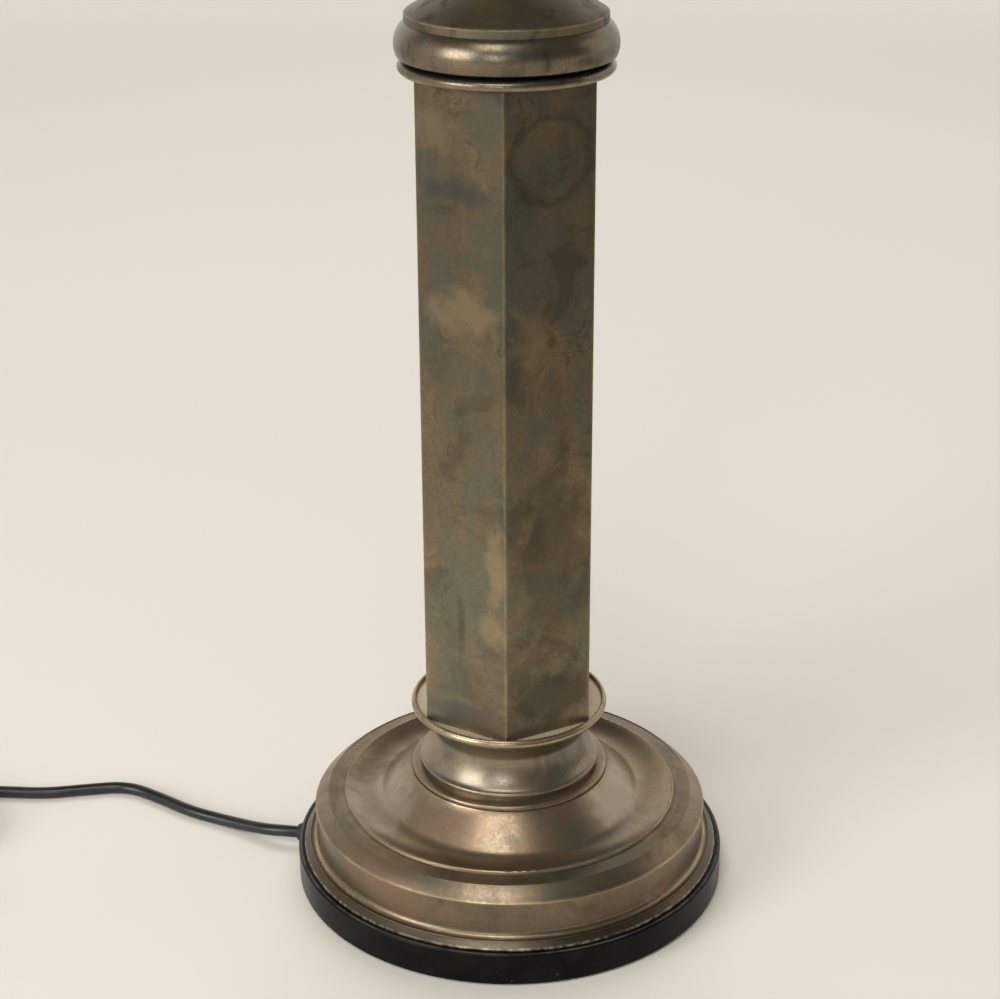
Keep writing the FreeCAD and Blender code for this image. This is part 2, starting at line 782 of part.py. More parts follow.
def print_least_gap(path):
    points = path.discretize(Distance=2.0)
    apart = int(5 * cord_d / 2.0)
    least = 1e9
    for i, p in enumerate(points):
        for q in points[i + apart:]:
            least = min(least, (p - q).Length)
    print(f"coil: least gap to itself {least - cord_d:.2f}")


def plug_frame():
    """Where the tail ends, the direction of the plug, and its side direction."""
    last, heading = coil_at(coil_turns)
    flat = V(heading.x, heading.y, 0).normalize()
    start = last + flat * 44.0 + V(4.0, -1.0, 0)
    start.z = plug_t / 2
    ahead = V(flat.x + 0.14, flat.y - 0.02, 0).normalize()
    return start, ahead, V(-ahead.y, ahead.x, 0)


def make_cord_tail():
    last, heading = coil_at(coil_turns)
    start, ahead, _ = plug_frame()
    begin = last + heading * cord_d
    points = [begin, begin + heading * 15.0, start - ahead * 9.0, start]
    return tube(rounded_route(points, "tail"), cord_r, "tail")


def make_plug_body():
    """Flat two-pin plug: a six-sided moulded body and a tapered, ribbed relief."""
    start, ahead, side = plug_frame()
    up = V(0, 0, 1)
    half_w, half_t, nose = plug_w / 2, plug_t / 2, plug_nose_w / 2
    foot = start + ahead * plug_relief_len
    corners = [(0, plug_relief_r + 1.2), (7.0, nose), (plug_len * 0.62, half_w),
               (plug_len, half_w - 1.6)]
    ring = [foot + ahead * x + side * y for x, y in corners]
    ring += [foot + ahead * x - side * y for x, y in reversed(corners)]
    face = Part.Face(Part.makePolygon([p - up * half_t for p in ring + ring[:1]]))
    body = face.extrude(up * plug_t)
    edges = [e for e in body.Edges if abs(e.BoundBox.ZLength) < 0.01]
    body = body.makeFillet(2.0, edges)
    relief = Part.makeCone(plug_relief_r - 1.2, plug_relief_r, plug_relief_len, start, ahead)
    for i in range(4):
        at = start + ahead * (2.2 + 3.0 * i)
        groove = Part.makeCylinder(plug_relief_r + 1, 1.0, at, ahead)
        groove = groove.cut(Part.makeCylinder(cord_r + 0.5, 1.0, at, ahead))
        relief = relief.cut(groove)
    return body.fuse(relief).removeSplitter()


def make_plug_pins():
    start, ahead, side = plug_frame()
    foot = start + ahead * (plug_relief_len + plug_len)
    pins = []
    for sign in (1, -1):
        base = foot + side * (sign * pin_spacing / 2)
        pin = Part.makeCylinder(pin_r, pin_len, base, ahead)
        tip = [e for e in pin.Edges if e.Closed
               and (e.Curve.Center - base).Length > pin_len / 2]
        pins.append(pin.makeFillet(1.2, tip))
    return Part.Compound(pins)


# ---------------------------------------------------------------- all pieces
exports["felt_pad"] = disc(plinth_r - felt_margin, 0, felt_t)
exports["plinth"] = make_plinth()
exports["plinth_screws"] = make_plinth_screws()
exports["base_weight"] = make_base_weight()
exports["base_shell"] = make_base_shell()
exports["neck_ring"] = make_neck_ring()
exports["neck_spool"] = make_neck_spool()
exports["column_dish"] = make_column_dish()
exports["column_tube"] = make_column_tube()
exports["lower_locator"] = make_locator(dish_z)
exports["upper_locator"] = make_locator(column_top - locator_t)
exports["top_plate"] = make_top_plate()
exports["gap_disc"] = disc(gap_r, plate_top, gap_t, rod_r + rod_hole_gap)
exports["round_collar"] = make_collar()
exports["dome_cap"] = make_dome_cap()
exports["check_ring"] = make_check_ring()
exports["threaded_tube"] = disc(rod_r, rod_foot, rod_top - rod_foot, rod_bore_r)
exports["bottom_washer"] = disc(washer_r, rod_foot + 0.6 + nut_t, washer_t, rod_r + rod_hole_gap)
exports["bottom_nut"] = hex_nut(nut_flats, rod_foot + 0.6, nut_t)
exports["lock_nut"] = hex_nut(lock_nut_flats, check_top, lock_nut_t)
exports["holder_cap"] = make_holder_cap()
exports["holder_body"] = make_holder_body()
exports["holder_core"] = make_holder_core()
exports["terminal_screws"] = make_terminal_screws()
exports["holder_skirt"] = make_holder_skirt()
exports["insulating_sleeve"] = make_insulating_sleeve()
exports["screw_shell"] = make_screw_shell()
exports["centre_contact"] = make_centre_contact()
exports["switch_bar"] = make_switch_bar()
exports["shade_ring"] = make_shade_ring()
exports["cord_bushing"] = make_cord_bushing()
exports["cord_stop"] = make_cord_stop()
exports["inner_flex"] = make_inner_flex()
exports["core_wires"] = make_core_wires()
exports["cord"] = make_cord()
exports["cord_coil"] = make_cord_coil()
exports["cord_tail"] = make_cord_tail()
exports["plug_body"] = make_plug_body()
exports["plug_pins"] = make_plug_pins()

os.makedirs("parts", exist_ok=True)
for name, shape in exports.items():
    box = shape.BoundBox
    print(f"{name}: solids {len(shape.Solids)}, valid {shape.isValid()}, "
          f"volume {shape.Volume / 1000:.2f} cm3, z {box.ZMin:.2f} to {box.ZMax:.2f}")
    shape.exportStep(f"parts/{name}.step")
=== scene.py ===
# %% [markdown]
# # A column table lamp, dressed for its portrait
# The frame holds every rigid piece of the lamp at its real size. This lesson gives those
# pieces their finish, lays the mains cord, and sets up a pale studio round them. Blender
# works in metres here, so most sizes are written in millimetres times MM.

# %% Load the frame
import math
import bmesh
import bpy
from mathutils import Matrix, Vector


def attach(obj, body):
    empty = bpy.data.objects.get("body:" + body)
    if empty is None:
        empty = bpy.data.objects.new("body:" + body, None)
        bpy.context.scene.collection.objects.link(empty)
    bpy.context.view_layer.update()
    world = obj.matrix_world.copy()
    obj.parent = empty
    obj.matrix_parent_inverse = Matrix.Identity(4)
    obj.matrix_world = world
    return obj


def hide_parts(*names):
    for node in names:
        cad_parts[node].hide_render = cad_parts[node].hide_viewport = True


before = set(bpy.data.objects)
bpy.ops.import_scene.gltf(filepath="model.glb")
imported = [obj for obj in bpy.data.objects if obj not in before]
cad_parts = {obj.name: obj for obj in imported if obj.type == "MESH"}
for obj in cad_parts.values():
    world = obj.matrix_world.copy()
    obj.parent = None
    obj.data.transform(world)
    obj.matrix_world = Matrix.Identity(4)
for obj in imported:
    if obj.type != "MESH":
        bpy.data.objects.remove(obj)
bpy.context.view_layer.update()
MM = 0.001
BODY = "lamp"

# %% [markdown]
# ## The camera
# The portrait is taken from in front and above with a short telephoto lens, which keeps the
# sides of the column nearly parallel. The camera gets its place and three angles, which are
# multiplied in the order turn, tilt, roll, so that each can be read and changed by itself.

# %% Camera at the portrait's place
CAMERA_PLACE = Vector((28.1, -925.3, 599.3)) * MM
CAMERA_TURN = math.radians(1.98)
CAMERA_TILT = math.radians(90 - 23.39)
CAMERA_ROLL = math.radians(-0.30)
SENSOR_WIDTH = 36.0
LENS = 77.43
FARTHEST_SEEN = 30.0

camera = bpy.data.objects.new("camera", bpy.data.cameras.new("camera"))
camera.data.sensor_fit = "HORIZONTAL"
camera.data.sensor_width = SENSOR_WIDTH
camera.data.lens = LENS
camera.data.clip_end = FARTHEST_SEEN
turn = Matrix.Rotation(CAMERA_TURN, 4, "Z")
tilt = Matrix.Rotation(CAMERA_TILT, 4, "X")
roll = Matrix.Rotation(CAMERA_ROLL, 4, "Z")
camera.matrix_world = Matrix.Translation(CAMERA_PLACE) @ turn @ tilt @ roll
bpy.context.scene.collection.objects.link(camera)
bpy.context.scene.camera = camera
bpy.context.scene.view_settings.view_transform = "Standard"
print("camera at", [round(value, 3) for value in CAMERA_PLACE], "m, lens", LENS, "mm")

# Welding a copy keeps the exact shape, and only the shading changes.

# %% Mesh helpers
WELD = 2e-6
SKIN_EDGE_ANGLE, LATHE_EDGE_ANGLE = 22, 30


def shade(mesh_data, edge_angle):
    """Smooth faces, with edges sharper than edge_angle degrees kept crisp."""
    bm = bmesh.new()
    bm.from_mesh(mesh_data)
    for face in bm.faces:
        face.smooth = True
    for edge in bm.edges:
        if len(edge.link_faces) == 2:
            edge.smooth = edge.calc_face_angle(0.0) < math.radians(edge_angle)
    bm.to_mesh(mesh_data)
    bm.free()


def finish_piece(name, bm, material, body, edge_angle):
    """Object from a bmesh, at the origin, riding on a body."""
    mesh_data = bpy.data.meshes.new(name)
    bm.to_mesh(mesh_data)
    bm.free()
    shade(mesh_data, edge_angle)
    piece = bpy.data.objects.new(name, mesh_data)
    bpy.context.scene.collection.objects.link(piece)
    mesh_data.materials.append(material)
    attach(piece, body)
    return piece


def skin_of(node, material, body=BODY):
    """Welded, smoothly shaded copy of a frame node that stands for it."""
    bm = bmesh.new()
    bm.from_mesh(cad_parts[node].data)
    bmesh.ops.remove_doubles(bm, verts=bm.verts[:], dist=WELD)
    piece = finish_piece(node + "_skin", bm, material, body, SKIN_EDGE_ANGLE)
    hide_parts(node)
    return piece


# %% [markdown]
# ## Helpers for shader nodes
# Every finish here is procedural: its colours come from noise and from where a point lies on
# the lamp. Such trees grow long when each node is wired by hand, so a Board wraps one tree and
# offers every step as a short call, which takes sockets or numbers and returns a socket.

# %% Node helpers
FLOAT, COLOUR, VECTOR = "NodeSocketFloat", "NodeSocketColor", "NodeSocketVector"
MIX_SOCKETS = {"RGBA": (6, 7, 2), "FLOAT": (2, 3, 0)}


class Board:
    """Short hand for adding and wiring nodes in one tree."""

    def __init__(self, tree):
        self.tree = tree

    def add(self, kind, **settings):
        full_name = kind if kind.startswith("Node") else "ShaderNode" + kind
        node = self.tree.nodes.new(full_name)
        for key, value in settings.items():
            setattr(node, key, value)
        return node

    def link(self, source, target):
        self.tree.links.new(source, target)

    def feed(self, value, socket):
        if isinstance(value, (int, float, tuple)):
            socket.default_value = value
        else:
            self.link(value, socket)

    def math(self, operation, a, b=0.0, clamp=False):
        node = self.add("Math", operation=operation, use_clamp=clamp)
        self.feed(a, node.inputs[0])
        self.feed(b, node.inputs[1])
        return node.outputs[0]

    def plus(self, a, b, clamp=False):
        return self.math("ADD", a, b, clamp)

    def minus(self, a, b, clamp=False):
        return self.math("SUBTRACT", a, b, clamp)

    def times(self, a, b, clamp=False):
        return self.math("MULTIPLY", a, b, clamp)

    def opposite(self, value, clamp=False):
        """1 where a mask is 0, and 0 where it is 1."""
        return self.minus(1.0, value, clamp)

    def ramp(self, value, low, high):
        """0 below low, 1 above high, a smooth step between."""
        node = self.add("MapRange", interpolation_type="SMOOTHSTEP")
        self.feed(value, node.inputs["Value"])
        node.inputs["From Min"].default_value = low
        node.inputs["From Max"].default_value = high
        return node.outputs["Result"]

    def mix(self, factor, a, b, kind="RGBA"):
        first, second, result = MIX_SOCKETS[kind]
        node = self.add("Mix", data_type=kind)
        self.feed(factor, node.inputs[0])
        self.feed(a, node.inputs[first])
        self.feed(b, node.inputs[second])
        return node.outputs[result]

    def noise(self, vector, scale, detail, rough, distortion=0.0):
        node = self.add("TexNoise")
        self.link(vector, node.inputs["Vector"])
        self.feed(scale, node.inputs["Scale"])
        node.inputs["Detail"].default_value = detail
        node.inputs["Roughness"].default_value = rough
        node.inputs["Distortion"].default_value = distortion
        return node.outputs["Fac"]

    def vector(self, operation, a, b=None, result=0):
        node = self.add("VectorMath", operation=operation)
        self.feed(a, node.inputs[0])
        if b is not None:
            self.feed(b, node.inputs[1])
        return node.outputs[result]

    def scaled(self, vector, factor):
        """A vector or colour times one number."""
        node = self.add("VectorMath", operation="SCALE")
        self.link(vector, node.inputs[0])
        self.link(factor, node.inputs["Scale"])
        return node.outputs[0]

    def stretched(self, vector, scale):
        node = self.add("Mapping")
        self.link(vector, node.inputs["Vector"])
        node.inputs["Scale"].default_value = scale
        return node.outputs["Vector"]

    def radius(self, vector):
        """Distance from the lamp's upright axis."""
        return self.vector("LENGTH", self.stretched(vector, (1, 1, 0)), result="Value")

    def height(self, vector):
        node = self.add("SeparateXYZ")
        self.link(vector, node.inputs[0])
        return node.outputs["Z"]


def new_group(name, inputs, outputs):
    """Shader group with its sockets, and its board, given values and results to wire."""
    group = bpy.data.node_groups.new(name, "ShaderNodeTree")
    for label, kind, value in inputs:
        socket = group.interface.new_socket(label, in_out="INPUT", socket_type=kind)
        socket.default_value = value
    for label, kind in outputs:
        group.interface.new_socket(label, in_out="OUTPUT", socket_type=kind)
    board = Board(group)
    given = board.add("NodeGroupInput").outputs
    results = board.add("NodeGroupOutput").inputs
    return group, board, given, results


print("node helpers ready:", [name for name in vars(Board) if not name.startswith("_")])

# %% [markdown]
# ## A patina that several brasses share
# Old brass goes brown where it is handled and greenish grey where damp sat on it. Two layers
# of clouds lay a warm and a grey green tone over the brown. A third noise and upright drips
# darken it in stains, tide marks follow thin lines of that noise, and fine specks lift small
# points to bare metal. It is one node group, so every brass piece on the lamp ages
# in the same manner with its own colours and scale.

# %% The patina group
CLOUD_STRETCH, DRIP_STRETCH = (1, 1, 0.6), (1, 1, 0.13)
CLOUD_EDGE = (0.47, 0.575)
STAIN_EDGE = (0.52, 0.66)
DRIP_EDGE, DRIP_SHARE = (0.50, 0.70), 0.45
TIDE_LEVEL, TIDE_WIDTH, TIDE_PLACES = 0.485, 0.016, (0.50, 0.60)
FINE_SHARE, GRAIN_SHARE = 0.6, 0.4
PEPPER_EDGE, PEPPER_SHARE = (0.42, 0.62), 0.32
SPECK_FULL, SPECK_NONE = 0.22, 0.29
GRAIN_IN_GLOSS, STAIN_IN_GLOSS = 0.5, 0.12


def make_patina():
    group, board, given, results = new_group(
        "patina",
        [("Vector", VECTOR, (0, 0, 0)), ("Brown", COLOUR, (0.2, 0.15, 0.1, 1)),
         ("Dark", COLOUR, (0.06, 0.05, 0.035, 1)), ("Grey green", COLOUR, (0.2, 0.2, 0.15, 1)),
         ("Warm", COLOUR, (0.3, 0.2, 0.12, 1)), ("Bare", COLOUR, (0.5, 0.38, 0.2, 1)),
         ("Scale", FLOAT, 1.0), ("Clouds", FLOAT, 0.6), ("Stains", FLOAT, 0.5),
         ("Tide marks", FLOAT, 0.3), ("Specks", FLOAT, 0.4), ("Roughness", FLOAT, 0.42)],
        [("Color", COLOUR), ("Roughness", FLOAT), ("Height", FLOAT)])
    place = board.scaled(given["Vector"], given["Scale"])
    upright = board.stretched(place, CLOUD_STRETCH)
    elsewhere = board.vector("ADD", upright, (7.3, 1.9, 4.4))
    stain_place = board.vector("ADD", place, (3.1, 8.2, 0.7))
    drip_place = board.stretched(place, DRIP_STRETCH)
    large = board.noise(upright, scale=22.0, detail=7.0, rough=0.60, distortion=0.4)
    second = board.noise(elsewhere, scale=34.0, detail=8.0, rough=0.62, distortion=0.5)
    mark = board.noise(stain_place, scale=40.0, detail=8.0, rough=0.60, distortion=0.6)
    drip = board.noise(drip_place, scale=75.0, detail=5.0, rough=0.6, distortion=0.2)
    fine = board.noise(place, scale=700.0, detail=5.0, rough=0.72)
    grain = board.noise(place, scale=2600.0, detail=3.0, rough=0.65)

    warm = board.times(board.ramp(large, *CLOUD_EDGE), given["Clouds"])
    colour = board.mix(warm, given["Brown"], given["Warm"])
    green = board.times(board.ramp(second, *CLOUD_EDGE), given["Clouds"])
    colour = board.mix(green, colour, given["Grey green"])
    shadow = board.times(board.ramp(mark, *STAIN_EDGE), given["Stains"])
    streak = board.times(board.ramp(drip, *DRIP_EDGE), given["Stains"])
    shadow = board.plus(shadow, board.times(streak, DRIP_SHARE), clamp=True)
    colour = board.mix(shadow, colour, given["Dark"])

    line = board.math("ABSOLUTE", board.minus(mark, TIDE_LEVEL))
    tide = board.opposite(board.ramp(line, 0.0, TIDE_WIDTH))
    tide = board.times(tide, board.ramp(large, *TIDE_PLACES))
    colour = board.mix(board.times(tide, given["Tide marks"]), colour, given["Dark"])

    dust = board.plus(board.times(fine, FINE_SHARE), board.times(grain, GRAIN_SHARE))
    pepper = board.times(board.ramp(dust, *PEPPER_EDGE), PEPPER_SHARE)
    colour = board.mix(pepper, colour, given["Dark"])
    speck = board.times(board.ramp(fine, SPECK_NONE, SPECK_FULL), given["Specks"])
    board.link(board.mix(speck, colour, given["Bare"]), results["Color"])

    rough = board.times(board.minus(dust, 0.5), GRAIN_IN_GLOSS)
    rough = board.plus(rough, given["Roughness"])
    rough = board.plus(rough, board.times(shadow, STAIN_IN_GLOSS), clamp=True)
    board.link(rough, results["Roughness"])
    board.link(dust, results["Height"])
    return group


PATINA = make_patina()
print("patina group nodes:", len(PATINA.nodes))

# %% [markdown]
# ## Stains and painted light with a place of their own
# Noise alone never puts a stain where the real one sits, and it can't place patches of painted
# highlight, painted shade and painted reflection either. This group makes one ragged patch, or a
# ring like the mark of a dried drop, round a centre given in the lamp's own coordinates.
# Its distance is measured in units of its size and shaken by noise, which frays its edge.

# %% The placed mark group
MARK_EDGES = {"Patch": (0.5, 2.2), "Ring": (0.16, 0.7)}  # softness, raggedness


def make_placed_mark():
    group, board, given, results = new_group(
        "placed_mark",
        [("Vector", VECTOR, (0, 0, 0)), ("Centre", VECTOR, (0, 0, 0)),
         ("Size", VECTOR, (0.01, 0.01, 0.01)), ("Softness", FLOAT, 0.5), ("Ragged", FLOAT, 2.2)],
        [("Patch", FLOAT), ("Ring", FLOAT)])
    away = board.vector("SUBTRACT", given["Vector"], given["Centre"])
    away = board.vector("DIVIDE", away, given["Size"])
    away = board.vector("LENGTH", away, result="Value")
    shake = board.minus(board.noise(given["Vector"], scale=85.0, detail=8.0, rough=0.66), 0.5)
    away = board.plus(away, board.times(shake, given["Ragged"]))
    inside = board.math("DIVIDE", board.opposite(away), given["Softness"])
    board.link(board.plus(inside, 0.0, clamp=True), results["Patch"])
    from_edge = board.math("ABSOLUTE", inside)
    board.link(board.opposite(from_edge, clamp=True), results["Ring"])
    return group


PLACED_MARK = make_placed_mark()
print("placed stain group nodes:", len(PLACED_MARK.nodes))

# %% [markdown]
# ## A finish for paint, rubber, plastic and iron
# None of these is one flat tone either. Paint has soft patches and dust, rubber a dull grain,
# cast iron a coarse one. A second group mixes two close tones, varies the gloss, and puts out
# a height for the bump, each at a scale that the material chooses.

# %% The fine finish group
PATCH_EDGE = (0.38, 0.64)
DUST_SPECK_SCALE, DUST_SPECK_EDGE = 520.0, (0.74, 0.80)


def make_fine_finish():
    group, board, given, results = new_group(
        "fine_finish",
        [("Vector", VECTOR, (0, 0, 0)), ("Tone", COLOUR, (0.02, 0.02, 0.02, 1)),
         ("Second tone", COLOUR, (0.04, 0.04, 0.04, 1)),
         ("Speck tone", COLOUR, (0.3, 0.3, 0.3, 1)),
         ("Patches", FLOAT, 60.0), ("Grain", FLOAT, 900.0), ("Specks", FLOAT, 0.2),
         ("Roughness", FLOAT, 0.4), ("Roughness change", FLOAT, 0.1)],
        [("Color", COLOUR), ("Roughness", FLOAT), ("Height", FLOAT)])
    place = given["Vector"]
    patch = board.noise(place, given["Patches"], detail=5.0, rough=0.6)
    patch = board.ramp(patch, *PATCH_EDGE)
    grain = board.noise(place, given["Grain"], detail=3.0, rough=0.6)
    colour = board.mix(patch, given["Tone"], given["Second tone"])
    elsewhere = board.vector("ADD", place, (5.1, 0.3, 2.2))
    speck = board.noise(elsewhere, DUST_SPECK_SCALE, detail=2.0, rough=0.5)
    speck = board.times(board.ramp(speck, *DUST_SPECK_EDGE), given["Specks"])
    board.link(board.mix(speck, colour, given["Speck tone"]), results["Color"])
    wander = board.minus(board.times(board.plus(patch, grain), 0.5), 0.5)
    wander = board.times(wander, given["Roughness change"])
    board.link(board.plus(wander, given["Roughness"], clamp=True), results["Roughness"])
    board.link(grain, results["Height"])
    return group


FINE_FINISH = make_fine_finish()
print("fine finish group nodes:", len(FINE_FINISH.nodes))

# %% [markdown]
# ## Edge wear and lines of painted light
# An arris that hands and dusters touch loses its patina first. Blender's Bevel node finds
# such edges, but an exported material can't keep it. So the wear is measured from the shape
# itself: the column is a hexagon, and the distance of a point from the axis is greatest at
# the arrises. On the turned pieces the same broken line sits where the radius or the height
# says, and there it lays wear and painted highlight on crests, dirt and painted shade in
# hollows, and dust.

# %% The broken line group
LINE_PATCH_EDGE = (0.40, 0.60)


def make_broken_line():
    """1 where Value is near Centre, falling to 0 at Width away, broken up by noise."""
    group, board, given, results = new_group(
        "broken_line",
        [("Vector", VECTOR, (0, 0, 0)), ("Value", FLOAT, 0.0), ("Centre", FLOAT, 0.0),
         ("Width", FLOAT, 0.001), ("Patchiness", FLOAT, 0.5), ("Patch scale", FLOAT, 70.0)],
        [("Mask", FLOAT)])
    away = board.math("ABSOLUTE", board.minus(given["Value"], given["Centre"]))
    near = board.opposite(board.math("DIVIDE", away, given["Width"]), clamp=True)
    patch = board.noise(given["Vector"], given["Patch scale"], detail=5.0, rough=0.6)
    patch = board.ramp(patch, *LINE_PATCH_EDGE)
    lost = board.times(board.opposite(patch), given["Patchiness"])
    board.link(board.times(near, board.opposite(lost), clamp=True), results["Mask"])
    return group


BROKEN_LINE = make_broken_line()
print("worn line group nodes:", len(BROKEN_LINE.nodes))

# %% [markdown]
# ## How a brass material is put together
# Each material is a Principled shader of its own, and the brasses feed it from the patina
# group. Metal takes most of its look from what it reflects, so the colours are those of a
# brown patina on metal, and the roughness is that of a hand-rubbed satin. Over the patina
# come placed stains and patches of painted light and shade, lines of dirt and painted shade,
# lines of wear and painted highlight, darker zones, one of them painted shade, and dust, in
# that order, each over what was laid before. Small helpers lay one kind each.

# %% Material helpers
# The pale tone is bare metal, and in the lines along crests and rims it is also painted
# highlight.
BARE_AND_HIGHLIGHT, DUST = (0.62, 0.49, 0.29), (0.50, 0.43, 0.34)
LINE_PATCHINESS, LINE_PATCH_SCALE = 0.6, 70.0
DUST_PATCHINESS, DUST_SCALE = 0.95, 330.0
DUST_SLOPE = (0.80, 0.98)
DUST_FADE = 0.6


def principled(name, **values):
    """Material with its Principled shader and a board. An underscore stands for a space."""
    material = bpy.data.materials.new(name)
    material.use_nodes = True
    shader = material.node_tree.nodes["Principled BSDF"]
    for key, value in values.items():
        shader.inputs[key.replace("_", " ")].default_value = value
    return material, shader, Board(material.node_tree)


def object_place(board):
    return board.add("TexCoord").outputs["Object"]


def bump(board, shader, height, distance):
    node = board.add("Bump")
    board.link(height, node.inputs["Height"])
    node.inputs["Distance"].default_value = distance
    node.inputs["Strength"].default_value = 1.0
    board.link(node.outputs["Normal"], shader.inputs["Normal"])


def line_mask(board, place, measure, centre, width, strength,
              patchiness=LINE_PATCHINESS, scale=LINE_PATCH_SCALE):
    """Mask of a broken line where a measure, radius or height, is near centre in mm."""
    marked = board.add("Group", node_tree=BROKEN_LINE)
    board.link(place, marked.inputs["Vector"])
    board.link(getattr(board, measure)(place), marked.inputs["Value"])
    marked.inputs["Centre"].default_value = centre * MM
    marked.inputs["Width"].default_value = width * MM
    marked.inputs["Patchiness"].default_value = patchiness
    marked.inputs["Patch scale"].default_value = scale
    return board.times(marked.outputs["Mask"], strength)


def add_tone_lines(board, place, colour, tone_lines, tone):
    """Lay lines of a tone over a colour: wear, dirt, dust, painted highlight and painted shade.
    tone_lines lists (measure, centre, width, strength).
    """
    for line in tone_lines:
        colour = board.mix(line_mask(board, place, *line), colour, (*tone, 1))
    return colour


def add_placed_marks(board, place, colour, placed_marks):
    """Lay placed stains and patches of painted light and shade on a colour. placed_marks lists
    (centre, size, tone, strength, kind).
    """
    for centre, size, tone, strength, kind in placed_marks:
        mark = board.add("Group", node_tree=PLACED_MARK)
        board.link(place, mark.inputs["Vector"])
        mark.inputs["Centre"].default_value = [value * MM for value in centre]
        mark.inputs["Size"].default_value = [value * MM for value in size]
        softness, ragged = MARK_EDGES[kind]
        mark.inputs["Softness"].default_value = softness
        mark.inputs["Ragged"].default_value = ragged
        mask = board.times(mark.outputs[kind], strength)
        colour = board.mix(mask, colour, (*tone, 1))
    return colour


def darken(board, place, colour, zones):
    """Scale a colour down from low to high. zones lists (measure, low, high, strength)."""
    for measure, low, high, strength in zones:
        share = board.ramp(getattr(board, measure)(place), low * MM, high * MM)
        colour = board.scaled(colour, board.opposite(board.times(share, strength)))
    return colour


def level_mask(board, place, strength, outer_radius):
    """Mask of the faces that look up, inside a radius in mm."""
    normal = board.add("NewGeometry").outputs["Normal"]
    level = board.times(board.ramp(board.height(normal), *DUST_SLOPE), strength)
    fade = (outer_radius * MM, (outer_radius + DUST_FADE) * MM)
    beyond = board.ramp(board.radius(place), *fade)
    return board.times(level, board.opposite(beyond))


print("stain kinds:", list(MARK_EDGES), "bare metal:", BARE_AND_HIGHLIGHT, "dust:", DUST)

# %% Brass with the shared patina
BRASS_METALLIC = 0.85
BRASS_GRAIN = 2e-5


def patina_brass(name, brown, dark, grey_green, warm, tone_lines=(), grime_and_shade=(), darker=(),
                 dust=None, dust_line=None, placed_marks=(), **values):
    """Brass with the shared patina. tone_lines and grime_and_shade list lines of wear and painted
    highlight, and of dirt and painted shade, for add_tone_lines; darker and placed_marks are
    lists for darken and add_placed_marks. dust is (colour, strength, outer radius) of dust on
    level faces, or dust_line is one line of it. values set the group."""
    material, shader, board = principled(name, Metallic=BRASS_METALLIC)
    place = object_place(board)
    group = board.add("Group", node_tree=PATINA)
    board.link(place, group.inputs["Vector"])
    for label, tone in (("Brown", brown), ("Dark", dark), ("Grey green", grey_green),
                        ("Warm", warm), ("Bare", BARE_AND_HIGHLIGHT)):
        group.inputs[label].default_value = (*tone, 1)
    for label, value in values.items():
        group.inputs[label.replace("_", " ")].default_value = value
    colour = add_placed_marks(board, place, group.outputs["Color"], placed_marks)
    colour = add_tone_lines(board, place, colour, grime_and_shade, dark)
    colour = add_tone_lines(board, place, colour, tone_lines, BARE_AND_HIGHLIGHT)
    colour = darken(board, place, colour, darker)
    dust_tone, settled = DUST, None
    if dust:
        dust_tone, strength, outer_radius = dust
        settled = level_mask(board, place, strength, outer_radius)
    elif dust_line:
        settled = line_mask(board, place, *dust_line, DUST_PATCHINESS, DUST_SCALE)
    if settled is not None:
        colour = board.mix(settled, colour, (*dust_tone, 1))
        board.link(board.times(board.opposite(settled), BRASS_METALLIC),
                   shader.inputs["Metallic"])
    board.link(colour, shader.inputs["Base Color"])
    board.link(group.outputs["Roughness"], shader.inputs["Roughness"])
    bump(board, shader, group.outputs["Height"], BRASS_GRAIN)
    return material


print("brass is", BRASS_METALLIC, "metallic, its grain", BRASS_GRAIN / MM, "mm high")

# %% [markdown]
# ## The column's patina and painted shade
# The column is the most stained piece. Its left face has a dark band near the top and tan and
# mossy patches below, and its right face the ring of a dried drop, with painted shade over its
# lower part, the side away from the light. Noise makes the clouds between them, while these
# stains and that painted shade have places in a list, in millimetres. The column is also
# painted darker towards the top, as painted shade, and the arrises are rubbed a little bare.

# %% Column material
OCHRE, MOSS = (0.41, 0.305, 0.175), (0.170, 0.166, 0.112)
SLATE, SOOT_AND_SHADE = (0.125, 0.112, 0.098), (0.085, 0.071, 0.046)
COLUMN_STAINS_AND_SHADE = [
    ((-20, -33.0, 355), (18, 18, 8), SLATE, 0.80, "Patch"),
    ((-33, -25.6, 338), (7, 7, 5), MOSS, 0.65, "Patch"),
    ((-13, -37.0, 326), (10, 10, 5), MOSS, 0.60, "Patch"),
    ((-19, -33.5, 303), (22, 22, 12), OCHRE, 0.75, "Patch"),
    ((-31, -26.5, 381), (12, 12, 13), OCHRE, 0.45, "Patch"),
    ((-10, -38.7, 384), (11, 11, 13), MOSS, 0.60, "Patch"),
    ((-18, -34.3, 271), (19, 19, 14), MOSS, 0.50, "Patch"),
    ((-4, -42.2, 182), (6, 6, 24), OCHRE, 0.60, "Patch"),
    ((-6, -41.2, 150), (9, 9, 10), OCHRE, 0.50, "Patch"),
    ((-21, -32.4, 147), (3, 3, 16), SOOT_AND_SHADE, 0.55, "Patch"),
    ((12, -37.8, 285), (10, 10, 20), OCHRE, 0.45, "Patch"),
    ((20, -33.1, 370), (19, 19, 19), SOOT_AND_SHADE, 0.55, "Ring"),
    # The two dark patches low on the right face are painted shade.
    ((22, -32.0, 112), (28, 28, 15), SOOT_AND_SHADE, 0.80, "Patch"),
    ((22, -32.0, 180), (24, 24, 62), SOOT_AND_SHADE, 0.50, "Patch"),
    ((-20, -33.0, 104), (30, 30, 6), SLATE, 0.55, "Patch")]
